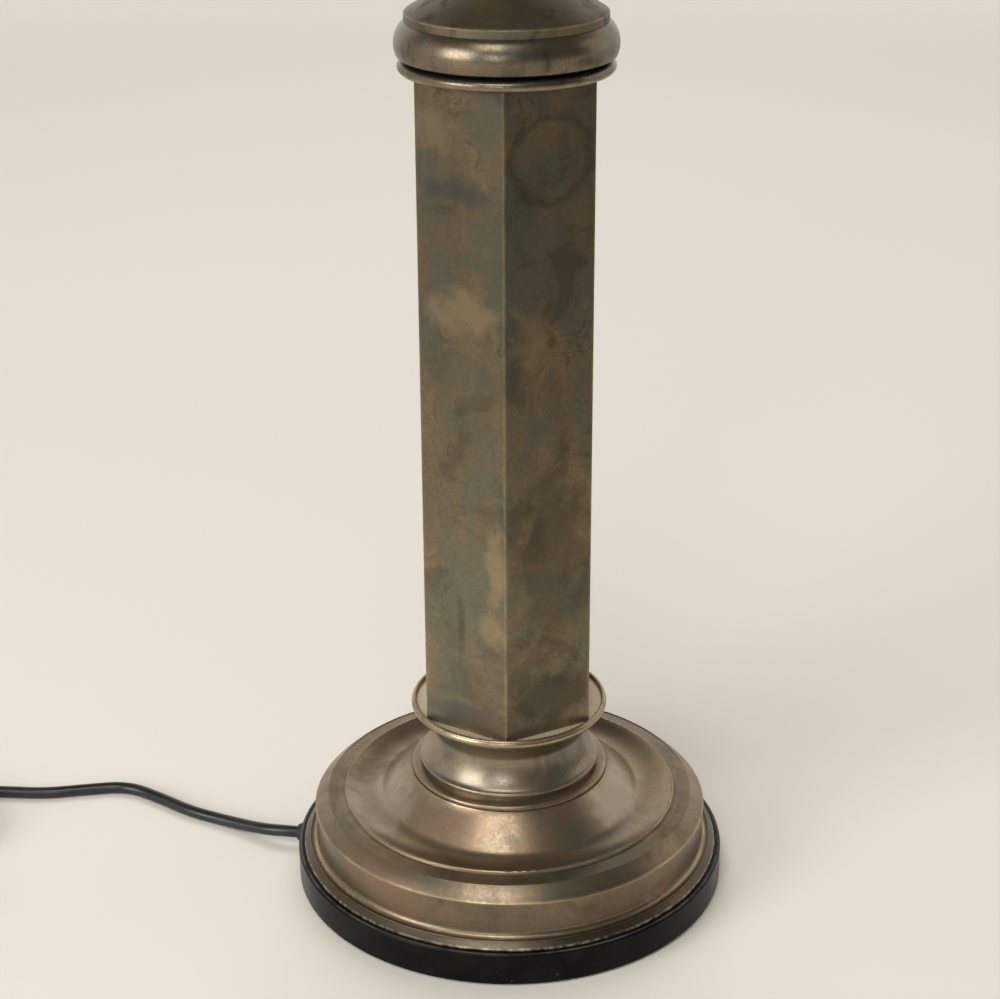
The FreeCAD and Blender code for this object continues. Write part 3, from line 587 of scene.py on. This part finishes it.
# The darker ramp from 60 to 350 mm high is painted shade towards the top.
COLUMN_PATINA_AND_SHADE = patina_brass(
    "column_patina_and_shade", (0.245, 0.192, 0.118), (0.085, 0.071, 0.046), (0.192, 0.186, 0.130),
    (0.32, 0.235, 0.135), tone_lines=[("radius", 44.6, 0.55, 0.32)],
    darker=[("height", 60.0, 350.0, 0.56)], placed_marks=COLUMN_STAINS_AND_SHADE, Scale=0.9, Clouds=0.8,
    Stains=0.42, Tide_marks=0.6, Specks=0.4, Roughness=0.47)
print("column stains:", len(COLUMN_STAINS_AND_SHADE), "nodes:", len(COLUMN_PATINA_AND_SHADE.node_tree.nodes))

# %% [markdown]
# ## The base's patina and painted light
# The spun base gets a painted highlight of coppery tone at its front left, painted shade of
# olive and sooty tone at its right, and a pale painted reflection on both flanks. Its turned
# steps show as lines: bare metal and painted highlight on what stands out, which is the crease,
# the rim of the step and the bead, and dirt and painted shade in what lies deeper, which is the
# valley, the groove, the ledge and the foot of the step. The outer steps grow darker outwards,
# and dust lies along the lip.

# %% Base material
# Coppery patches are painted highlight, olive and soot-toned ones at the right are painted shade,
# and pearl ones are painted reflection.
COPPER_HIGHLIGHT, OLIVE_SHADE = (0.415, 0.270, 0.175), (0.215, 0.205, 0.125)
PEARL_REFLECTION = (0.40, 0.345, 0.275)
BASE_PAINTED_LIGHT = [
    ((-22, -48, 51), (24, 18, 16), COPPER_HIGHLIGHT, 0.55, "Patch"),
    ((-48, -72, 42), (26, 18, 10), COPPER_HIGHLIGHT, 0.50, "Patch"),
    ((-46, -84, 30), (34, 20, 12), COPPER_HIGHLIGHT, 0.55, "Patch"),
    ((28, -82, 44), (34, 16, 9), OLIVE_SHADE, 0.60, "Patch"),
    ((40, -50, 46), (26, 22, 12), OLIVE_SHADE, 0.45, "Patch"),
    ((48, -78, 32), (34, 24, 10), SOOT_AND_SHADE, 0.25, "Patch"),
    ((-62, -16, 46), (22, 40, 14), PEARL_REFLECTION, 0.60, "Patch"),
    ((50, -18, 49), (20, 34, 14), PEARL_REFLECTION, 0.65, "Patch")]
# Crease, step rim and bead are lines of wear and painted highlight; valley, groove, ledge and
# step foot are lines of dirt and painted shade.
CREASE = ("height", 38.7, 0.9, 1.0)
STEP_RIM = ("radius", 81.2, 0.5, 0.6)
BEAD = ("height", 20.9, 0.6, 1.0)
VALLEY = ("radius", 69.0, 8.0, 0.22)
VALLEY_SIDE = ("radius", 75.5, 5.5, 0.35)
GROOVE = ("height", 20.2, 0.4, 0.7)
LEDGE = ("radius", 85.0, 5.0, 0.45)
STEP_FOOT = ("radius", 82.3, 0.8, 0.7)
LIP = ("radius", 102.3, 0.7, 0.55)
BASE_PATINA_AND_LIGHT = patina_brass(
    "base_patina_and_light", (0.31, 0.235, 0.152), (0.10, 0.083, 0.056), (0.255, 0.230, 0.165),
    (0.39, 0.262, 0.165), tone_lines=[CREASE, STEP_RIM, BEAD],
    grime_and_shade=[VALLEY, VALLEY_SIDE, GROOVE, LEDGE, STEP_FOOT],
    darker=[("radius", 78.0, 90.0, 0.20), ("radius", 92.5, 96.5, 0.12),
            ("radius", 97.2, 98.6, 0.50)],
    dust_line=LIP, placed_marks=BASE_PAINTED_LIGHT, Scale=1.0, Clouds=0.5, Stains=0.35, Tide_marks=0.1,
    Specks=0.3, Roughness=0.33)
print("base stains:", len(BASE_PAINTED_LIGHT), "nodes:", len(BASE_PATINA_AND_LIGHT.node_tree.nodes))

# %% [markdown]
# ## Neck, dish, plates and dome
# The neck and the dish shine most, and nobody wipes the dish, so pale dust lies on its floor.
# The plate, the collar and the dome are the darkest brasses, and the dome's very dark tones are
# partly painted shade. The first two share a material that passing cloths keep glossy, while
# the dome out of reach above them is duller. The bright rings on the spool's foot, the dish's
# rim, the plate and the dome's lip are wear and painted highlight.

# %% Materials of the neck, the dish and the cap
# The rings of bare tone in these four materials are wear and painted highlight.
NECK = patina_brass(
    "neck_patina", (0.275, 0.228, 0.165), (0.09, 0.08, 0.06), (0.25, 0.245, 0.205),
    (0.37, 0.285, 0.185), tone_lines=[("height", 64.0, 0.7, 0.5), ("height", 60.4, 0.6, 0.35)],
    Scale=1.5, Clouds=0.5, Stains=0.4, Tide_marks=0.1, Specks=0.25, Roughness=0.34)
DISH = patina_brass(
    "dish_patina", (0.40, 0.305, 0.195), (0.13, 0.105, 0.07), (0.29, 0.26, 0.19),
    (0.46, 0.33, 0.18), tone_lines=[("height", 92.6, 1.3, 0.42)],
    dust=((0.62, 0.51, 0.37), 0.72, 44.8), Scale=1.5, Clouds=0.4,
    Stains=0.45, Tide_marks=0.1, Specks=0.3, Roughness=0.28)
CAP = patina_brass(
    "cap_patina", (0.168, 0.134, 0.089), (0.050, 0.042, 0.028), (0.155, 0.148, 0.110),
    (0.225, 0.168, 0.108), tone_lines=[("height", 402.4, 1.2, 0.3)], Scale=1.3, Clouds=0.5,
    Stains=0.6, Tide_marks=0.1, Specks=0.45, Roughness=0.29)
# The dome's very dark tones are partly painted shade.
DOME_PATINA_AND_SHADE = patina_brass(
    "dome_patina_and_shade", (0.135, 0.108, 0.068), (0.05, 0.042, 0.028), (0.13, 0.12, 0.085),
    (0.19, 0.14, 0.085), tone_lines=[("height", 426.3, 0.6, 0.45)], Scale=1.3, Clouds=0.6,
    Stains=0.8, Tide_marks=0.1, Specks=0.5, Roughness=0.42)
print("turned brasses:", [material.name for material in (NECK, DISH, CAP, DOME_PATINA_AND_SHADE)])

# %% [markdown]
# ## The lampholder's brass
# A lampholder is pressed from thinner and newer brass, and its contacts stay almost clean. The
# same patina does for both, with yellower tones and smaller clouds.

# %% Lampholder materials
HOLDER = patina_brass(
    "holder_brass", (0.43, 0.325, 0.175), (0.17, 0.125, 0.065), (0.36, 0.31, 0.19),
    (0.50, 0.36, 0.18), Scale=2.0, Clouds=0.35, Stains=0.3, Tide_marks=0.05, Specks=0.2,
    Roughness=0.30)
CONTACT = patina_brass(
    "contact_brass", (0.74, 0.56, 0.27), (0.42, 0.29, 0.12), (0.66, 0.56, 0.32),
    (0.80, 0.58, 0.26), Scale=2.5, Clouds=0.3, Stains=0.2, Tide_marks=0.0, Specks=0.1,
    Roughness=0.24)
print("lampholder brasses:", HOLDER.name, CONTACT.name)

# %% [markdown]
# ## The plainer materials
# The rest are plainer, but each has its own gloss and grain: baked lacquer with a little
# dust, matt rubber, moulded plastic, dark phenolic, zinc plated steel, rough iron and felt.

# %% Paint, rubber, plastic, steel and iron
def fine_finish(name, tone, second, patches, grain, rough, change, depth, specks=0.0,
                speck_tone=(0.3, 0.27, 0.22), tone_lines=(), **values):
    """Material from the fine finish group. depth is the height of its grain in metres."""
    material, shader, board = principled(name, **values)
    group = board.add("Group", node_tree=FINE_FINISH)
    place = object_place(board)
    board.link(place, group.inputs["Vector"])
    for label, colour in (("Tone", tone), ("Second tone", second), ("Speck tone", speck_tone)):
        group.inputs[label].default_value = (*colour, 1)
    for label, value in (("Patches", patches), ("Grain", grain), ("Specks", specks),
                         ("Roughness", rough), ("Roughness change", change)):
        group.inputs[label].default_value = value
    colour = add_tone_lines(board, place, group.outputs["Color"], tone_lines, speck_tone)
    board.link(colour, shader.inputs["Base Color"])
    board.link(group.outputs["Roughness"], shader.inputs["Roughness"])
    bump(board, shader, group.outputs["Height"], depth)
    return material


# The pale broken line on the plinth's top edge is dust and painted highlight.
LACQUER = fine_finish("black_lacquer", (0.003, 0.003, 0.0032), (0.007, 0.006, 0.005), 70, 1100,
                      0.30, 0.16, 4e-6, specks=0.5, tone_lines=[("radius", 104.3, 0.7, 0.35)],
                      Specular_IOR_Level=0.10)
# The gap disc's near-black, barely reflecting finish is painted shade in the gap between the
# plate and the collar.
GAP_SHADE = fine_finish("gap_black", (0.001, 0.001, 0.001), (0.003, 0.0026, 0.002), 200, 900,
                  0.95, 0.1, 1e-5, Specular_IOR_Level=0.1)
SHEATH = fine_finish("cord_sheath", (0.011, 0.011, 0.012), (0.020, 0.019, 0.018), 90, 1500,
                     0.33, 0.16, 8e-6, specks=0.25)
RUBBER = fine_finish("bushing_rubber", (0.011, 0.011, 0.011), (0.022, 0.021, 0.020), 150, 1700,
                     0.60, 0.15, 2e-5, specks=0.15)
PLUG = fine_finish("plug_moulding", (0.013, 0.013, 0.014), (0.021, 0.020, 0.020), 120, 1300,
                   0.37, 0.15, 1.5e-5, specks=0.15)
PINS = fine_finish("pin_metal", (0.72, 0.66, 0.52), (0.50, 0.42, 0.27), 220, 1500, 0.27, 0.16,
                   4e-6, Metallic=1.0)
PHENOLIC = fine_finish("dark_phenolic", (0.020, 0.014, 0.011), (0.040, 0.024, 0.016), 160, 1200,
                       0.36, 0.16, 6e-6, specks=0.1)
STEEL = fine_finish("zinc_steel", (0.46, 0.46, 0.47), (0.30, 0.30, 0.31), 140, 900, 0.40, 0.2,
                    8e-6, Metallic=1.0)
IRON = fine_finish("cast_iron", (0.045, 0.045, 0.046), (0.085, 0.055, 0.038), 60, 420, 0.74, 0.2,
                   1.2e-4, Metallic=0.5)
FELT = fine_finish("black_felt", (0.016, 0.016, 0.017), (0.034, 0.033, 0.032), 260, 2400, 0.95,
                   0.1, 1.5e-4)
print("materials so far:", len(bpy.data.materials))

# %% [markdown]
# ## Rigid pieces get their skins
# Most pieces already have their exact form in the frame. A skin of the same form with its
# finish is all they need, so one table says which material each piece wears. The push bar and
# the shade ring move, so their skins ride on bodies of their own.

# %% Skins of the rigid pieces
SKINS = {
    "plinth": LACQUER, "base_shell": BASE_PATINA_AND_LIGHT, "neck_ring": BASE_PATINA_AND_LIGHT, "column_dish": DISH,
    "column_tube": COLUMN_PATINA_AND_SHADE, "top_plate": CAP, "gap_disc": GAP_SHADE, "round_collar": CAP,
    "dome_cap": DOME_PATINA_AND_SHADE, "check_ring": CAP, "lock_nut": HOLDER,
    "holder_cap": HOLDER, "holder_body": HOLDER, "insulating_sleeve": PHENOLIC,
    "holder_core": PHENOLIC, "centre_contact": CONTACT, "cord_bushing": RUBBER,
    "plug_body": PLUG, "plug_pins": PINS,
    "terminal_screws": CONTACT, "felt_pad": FELT, "plinth_screws": STEEL, "base_weight": IRON,
    "lower_locator": STEEL, "upper_locator": STEEL, "threaded_tube": STEEL,
    "bottom_washer": STEEL, "bottom_nut": STEEL, "cord_stop": RUBBER, "inner_flex": SHEATH,
    "core_wires": SHEATH,
}
skins = {node: skin_of(node, material) for node, material in SKINS.items()}
skins["switch_bar"] = skin_of("switch_bar", PHENOLIC, "switch")
skins["shade_ring"] = skin_of("shade_ring", HOLDER, "ring")
print("skins:", len(skins), "faces:", sum(len(skin.data.polygons) for skin in skins.values()))

# %% [markdown]
# ## The spool of the neck
# A turner would cut this hollow neck from one bar. A profile of a few corners stands for the
# cutter's path: each corner gets its own rounding from a vertex bevel, and the whole line is
# then spun about the axis. Rounding in the profile gives clean quads, and the small radius on
# the foot's lip catches the thin golden light that the real one shows.

# %% Lathe helper and the spool
SPOOL_BORE, SPOOL_FOOT, SPOOL_TOP = 31.0, 60.72, 92.2
SPOOL_FOOT_R, SPOOL_LIP_R, SPOOL_TOP_R = 42.1, 43.8, 43.4
SPOOL_STEPS, THREAD_STEPS, SHELL_STEPS = 160, 96, 64


def lathe(name, corners, material, steps):
    """Spin a profile of (radius, height, rounding, segments) corners, all in mm."""
    bm = bmesh.new()
    verts = [bm.verts.new((radius * MM, 0, height * MM)) for radius, height, _, _ in corners]
    for before, after in zip(verts, verts[1:]):
        bm.edges.new((before, after))
    for vert, (_, _, rounding, segments) in zip(verts, corners):
        if rounding:
            bmesh.ops.bevel(bm, geom=[vert], offset=rounding * MM, offset_type="OFFSET",
                            segments=segments, profile=0.5, affect="VERTICES", material=-1)
    bmesh.ops.spin(bm, geom=bm.verts[:] + bm.edges[:], cent=(0, 0, 0), axis=(0, 0, 1),
                   angle=math.tau, steps=steps, use_merge=True)
    bmesh.ops.remove_doubles(bm, verts=bm.verts[:], dist=WELD)
    bmesh.ops.recalc_face_normals(bm, faces=bm.faces[:])
    return finish_piece(name, bm, material, BODY, LATHE_EDGE_ANGLE)


spool = lathe("turned_spool", [
    (SPOOL_BORE, SPOOL_FOOT, 0, 0), (SPOOL_FOOT_R, SPOOL_FOOT, 0, 0),
    (SPOOL_FOOT_R, 63.1, 0.3, 2), (SPOOL_LIP_R, 63.1, 0.7, 5), (SPOOL_LIP_R, 64.8, 0.7, 5),
    (42.2, 65.6, 0.9, 4), (37.2, 72.0, 7.0, 14), (36.2, 83.5, 7.0, 12),
    (SPOOL_TOP_R, 91.6, 0.5, 3), (SPOOL_TOP_R, SPOOL_TOP, 0, 0),
    (SPOOL_BORE, SPOOL_TOP, 0, 0), (SPOOL_BORE, SPOOL_FOOT, 0, 0)], NECK, SPOOL_STEPS)
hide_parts("neck_spool")
print("spool faces:", len(spool.data.polygons))

# %% [markdown]
# ## Thread of the skirt
# A shade ring screws up and down the lampholder's skirt. At this size a thread and a stack of
# rounded ridges look alike, so the ridges are cut on the same lathe helper. Their tops stay at
# the skirt's radius, which leaves the ring the room that it needs to pass.

# %% Threaded skirt
SKIRT_R, SKIRT_ROOT, SKIRT_BORE = 19.5, 19.0, 18.3
SKIRT_FOOT, SKIRT_TOP, SKIRT_CHAMFER = 488.6, 516.6, 0.3
GROOVE_FOOT, GROOVE_TOP = 497.2, 498.7
SKIRT_FIRST, SKIRT_PITCH, SKIRT_RIDGES = 498.9, 2.4, 7
skirt_line = [(SKIRT_BORE, SKIRT_FOOT, 0, 0), (SKIRT_R, SKIRT_FOOT, 0, 0),
              (SKIRT_R, GROOVE_FOOT, 0.15, 2), (SKIRT_ROOT, GROOVE_FOOT, 0.1, 2),
              (SKIRT_ROOT, GROOVE_TOP, 0.1, 2)]
for ridge in range(SKIRT_RIDGES):
    z = SKIRT_FIRST + SKIRT_PITCH * ridge
    skirt_line += [(SKIRT_R, z + 0.6, 0.25, 3), (SKIRT_R, z + 1.2, 0.25, 3),
                   (SKIRT_ROOT, z + 1.8, 0.25, 3), (SKIRT_ROOT, z + 2.3, 0.2, 3)]
skirt_line += [(SKIRT_ROOT, SKIRT_TOP - SKIRT_CHAMFER, 0.2, 2),
               (SKIRT_ROOT - SKIRT_CHAMFER, SKIRT_TOP, 0, 0),
               (SKIRT_BORE, SKIRT_TOP, 0, 0), (SKIRT_BORE, SKIRT_FOOT, 0, 0)]
skirt = lathe("threaded_skirt", skirt_line, HOLDER, THREAD_STEPS)
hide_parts("holder_skirt")
print("skirt faces:", len(skirt.data.polygons))

# %% [markdown]
# ## Thread of the screw shell
# The lamp's screw shell is thin sheet with a rolled thread of long, soft waves, open at the top
# and drawn in at the foot, where it seats in the core. It is lathed in the same way, with the
# waves on the inside, where a bulb would screw in.

# %% Rolled shell
SHELL_BORE, SHELL_OUT, SHELL_TOP = 13.4, 14.0, 513.9
SHELL_FIRST, SHELL_PITCH, SHELL_WAVES, WAVE_DEPTH = 512.6, 3.6, 5, 0.45
SEAT_BORE, SEAT_OUT, SEAT_FOOT, SEAT_TOP = 12.7, 13.3, 489.9, 494.4
shell_line = [(SHELL_OUT, SHELL_TOP, 0, 0), (SHELL_BORE, SHELL_TOP, 0, 0)]
for wave in range(SHELL_WAVES):
    z = SHELL_FIRST - SHELL_PITCH * wave
    shell_line += [(SHELL_BORE, z, 0.5, 4), (SHELL_BORE, z - 0.8, 0.5, 4),
                   (SHELL_BORE + WAVE_DEPTH, z - 1.9, 0.5, 4),
                   (SHELL_BORE + WAVE_DEPTH, z - 2.7, 0.5, 4)]
shell_line += [(SEAT_BORE, 495.0, 0.3, 2), (SEAT_BORE, SEAT_FOOT, 0, 0),
               (SEAT_OUT, SEAT_FOOT, 0, 0), (SEAT_OUT, SEAT_TOP, 0, 0),
               (SHELL_OUT, SEAT_TOP, 0, 0), (SHELL_OUT, SHELL_TOP, 0, 0)]
rolled_shell = lathe("rolled_shell", shell_line, CONTACT, SHELL_STEPS)
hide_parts("screw_shell")
print("shell faces:", len(rolled_shell.data.polygons))

# %% [markdown]
# ## The mains cord
# A round lead leaves the plinth through its bushing, drops to the table and wanders off in
# loose curves. The length that isn't needed is wound up: the coil runs inwards on the table,
# climbs over half a turn and runs outwards again on top, and then the lead goes on to the
# plug. All of it is one line, whose control points are the corners of the route.

# %% The coil
CORD_D = 6.0 * MM
COIL_CENTRE = Vector((-316.0, 9.6, 0)) * MM
COIL_TURNS = 7.375
COIL_MID_R = 33.0 * MM
COIL_PITCH = 6.6 * MM
COIL_LAYER = 6.55 * MM
COIL_LIFT = 0.05 * MM
COIL_START = math.radians(90)
CLIMB_TURNS = 0.5
HEADING_STEP = 1e-4


def coil_point(turns):
    middle = COIL_TURNS / 2
    inner = COIL_MID_R - COIL_PITCH * middle / 2
    radius = inner + COIL_PITCH * abs(turns - middle)
    climb = min(1.0, max(0.0, (turns - middle + CLIMB_TURNS / 2) / CLIMB_TURNS))
    z = CORD_D / 2 + COIL_LIFT + COIL_LAYER * climb * climb * (3 - 2 * climb)
    angle = COIL_START + math.tau * turns
    return COIL_CENTRE + Vector((radius * math.cos(angle), radius * math.sin(angle), z))


def coil_heading(turns):
    before, after = coil_point(turns - HEADING_STEP), coil_point(turns + HEADING_STEP)
    return (after - before).normalized()


print("coil:", COIL_TURNS, "turns, middle radius", round(COIL_MID_R / MM, 1), "mm")

# %% The cord's route
EXIT_ANGLE = math.radians(173.5)
EXIT_Z = 7.5 * MM
EXIT_R = 108.9 * MM
EXIT_RUN = 8.0 * MM
ROUTE = [
    (-126.5, 17.0, 6.0), (-139.0, 24.3, 3.9), (-153.0, 31.3, 3.0), (-168.5, 38.2, 3.0),
    (-186.0, 50.5, 3.0), (-205.5, 62.3, 3.0), (-227.0, 58.6, 3.0), (-249.0, 53.9, 3.0),
    (-271.0, 55.4, 3.0)]
COIL_LEAD = 17.0 * MM
POINTS_PER_TURN = 20
LEAVE_RUN = 15 * MM
PLUG_AWAY = 44 * MM
PLUG_SHIFT = Vector((4, -1, 0)) * MM
PLUG_Z = 6.85 * MM
PLUG_TURN = Vector((0.14, -0.02, 0))
PLUG_RUN = 9 * MM


def along_exit(distance):
    return Vector((distance * math.cos(EXIT_ANGLE), distance * math.sin(EXIT_ANGLE), EXIT_Z))


exit_point = along_exit(EXIT_R)
touch, start_heading = coil_point(0), coil_heading(0)
leave, end_heading = coil_point(COIL_TURNS), coil_heading(COIL_TURNS)
flat = Vector((end_heading.x, end_heading.y, 0)).normalized()
plug_start = leave + flat * PLUG_AWAY + PLUG_SHIFT
plug_start.z = PLUG_Z
plug_ahead = (flat + PLUG_TURN).normalized()

line = [exit_point, along_exit(EXIT_R + EXIT_RUN)] + [Vector(p) * MM for p in ROUTE]
line += [touch - start_heading * (CORD_D + COIL_LEAD), touch - start_heading * CORD_D]
coil_count = int(COIL_TURNS * POINTS_PER_TURN)
line += [coil_point(COIL_TURNS * i / coil_count) for i in range(coil_count + 1)]
line += [leave + end_heading * CORD_D, leave + end_heading * (CORD_D + LEAVE_RUN),
         plug_start - plug_ahead * PLUG_RUN, plug_start]
print("control points of the cord:", len(line))

# %% [markdown]
# ## From a route to a lead
# A NURBS curve runs smoothly past its control points, and a bevel gives it the lead's
# thickness. It stays one curve from the bushing to the plug, so it can't part anywhere, and it
# replaces the cord, its coil and its tail at once.

# %% The cord itself
cord_data = bpy.data.curves.new("mains_cord", "CURVE")
cord_data.dimensions = "3D"
cord_data.bevel_depth = CORD_D / 2
cord_data.bevel_resolution = 5
cord_data.resolution_u = 6
spline = cord_data.splines.new("NURBS")
spline.points.add(len(line) - 1)
for point, place in zip(spline.points, line):
    point.co = (*place, 1)
spline.order_u = 3
spline.use_endpoint_u = True
spline.use_smooth = True
cord = bpy.data.objects.new("mains_cord", cord_data)
bpy.context.scene.collection.objects.link(cord)
cord_data.materials.append(SHEATH)
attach(cord, BODY)
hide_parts("cord", "cord_coil", "cord_tail")
print("cord length:", round(spline.calc_length(), 3), "m")

# %% [markdown]
# ## The studio
# A plain pale floor runs out to a pale horizon. Near the lamp it is an ordinary matt surface
# that takes the shadow. Further out the lamps no longer reach it, so there a glow for the
# camera and for reflections fades in, in the tone of the world, and no edge shows.

# %% Floor
FLOOR_HALF = 12.0
FLOOR_TONE = (0.82, 0.77, 0.69, 1)
FAR_TONE = (0.80, 0.765, 0.71, 1)
BLACK = (0, 0, 0, 1)
GLOW_FROM, GLOW_FULL = 1.7, 3.4


def make_floor():
    bm = bmesh.new()
    bmesh.ops.create_grid(bm, x_segments=1, y_segments=1, size=FLOOR_HALF)
    mesh_data = bpy.data.meshes.new("floor")
    bm.to_mesh(mesh_data)
    bm.free()
    floor = bpy.data.objects.new("floor", mesh_data)
    bpy.context.scene.collection.objects.link(floor)
    material, shader, board = principled("studio_floor", Roughness=0.7)
    far_off = board.ramp(board.radius(object_place(board)), GLOW_FROM, GLOW_FULL)
    path = board.add("LightPath").outputs
    seen = board.plus(path["Is Camera Ray"], path["Is Glossy Ray"], clamp=True)
    glow = board.times(far_off, seen)
    board.link(board.mix(glow, FLOOR_TONE, BLACK), shader.inputs["Base Color"])
    board.link(board.mix(glow, BLACK, FAR_TONE), shader.inputs["Emission Color"])
    shader.inputs["Emission Strength"].default_value = 1.0
    floor.data.materials.append(material)
    return floor


studio_floor = make_floor()
print("floor:", studio_floor.name, "across", 2 * FLOOR_HALF, "m")

# %% [markdown]
# ## The lights
# The picture is lit as by a room: a large window at the left, an open door in front, daylight
# from a pale ceiling and a weak fill at the right. Big soft areas draw the broad highlights of
# the turned brass. A last one lights the floor behind, and metal doesn't mirror it.

# %% Lights
def soft_light(name, place, aim, size, power, colour):
    lamp = bpy.data.lights.new(name, "AREA")
    lamp.shape = "RECTANGLE"
    lamp.size, lamp.size_y = size
    lamp.energy = power
    lamp.color = colour
    light = bpy.data.objects.new(name, lamp)
    light.location = place
    light.rotation_euler = (Vector(aim) - Vector(place)).to_track_quat("-Z", "Y").to_euler()
    bpy.context.scene.collection.objects.link(light)
    print("light:", name, power, "W")
    return light


AIM = (0, 0, 0.2)
soft_light("window_left", (-2.25, -1.9, 1.37), AIM, (1.55, 1.6), 56, (0.95, 0.98, 1.0))
soft_light("door_front", (-0.36, -2.3, 1.03), AIM, (0.7, 0.7), 9, (0.88, 0.95, 1.0))
soft_light("ceiling_front", (-0.4, -1.6, 2.7), AIM, (1.4, 1.1), 27, (1.0, 0.97, 0.93))
soft_light("fill_right", (2.4, 0.6, 1.1), AIM, (1.1, 1.6), 4.5, (1.0, 0.95, 0.88))
behind_light = soft_light("ceiling_behind", (0, 1.9, 2.6), (0, 1.1, 0), (2.6, 1.6), 38, (1, 1, 1))
behind_light.visible_glossy = False

# %% [markdown]
# ## The room round the lamp
# The world stands in for the pale room. Metal sees it bright behind the lamp and to its left,
# and dim to the front and right, as in a room with one window, so that brass shows pale edges
# and dark fronts. Matt surfaces get a plain weak light from it, and the camera a pale tone.

# %% World
ROOM_TONE = (0.90, 0.86, 0.80, 1)
ROOM_ON_MATT, ROOM_IN_CAMERA, ROOM_IN_METAL = 0.30, 0.89, 0.08
BEHIND_GLOW, LEFT_GLOW = 1.05, 0.85
BEHIND_EDGE, LEFT_EDGE, HIGH_EDGE = (0.05, 0.75), (0.55, 1.0), (0.45, 0.8)

world = bpy.data.worlds.new("studio")
bpy.context.scene.world = world
world.use_nodes = True
board = Board(world.node_tree)
background = world.node_tree.nodes["Background"]
direction = board.add("SeparateXYZ")
board.link(board.add("TexCoord").outputs["Generated"], direction.inputs[0])
behind = board.ramp(direction.outputs["Y"], *BEHIND_EDGE)
leftward = board.ramp(board.times(direction.outputs["X"], -1.0), *LEFT_EDGE)
low = board.opposite(board.ramp(direction.outputs["Z"], *HIGH_EDGE))
glow = board.math("MAXIMUM", board.times(behind, BEHIND_GLOW), board.times(leftward, LEFT_GLOW))
in_metal = board.plus(board.times(glow, low), ROOM_IN_METAL)
path = board.add("LightPath").outputs
strength = board.mix(path["Is Glossy Ray"], ROOM_ON_MATT, in_metal, "FLOAT")
strength = board.mix(path["Is Camera Ray"], strength, ROOM_IN_CAMERA, "FLOAT")
board.link(strength, background.inputs["Strength"])
background.inputs["Color"].default_value = ROOM_TONE
print("world nodes:", len(world.node_tree.nodes))
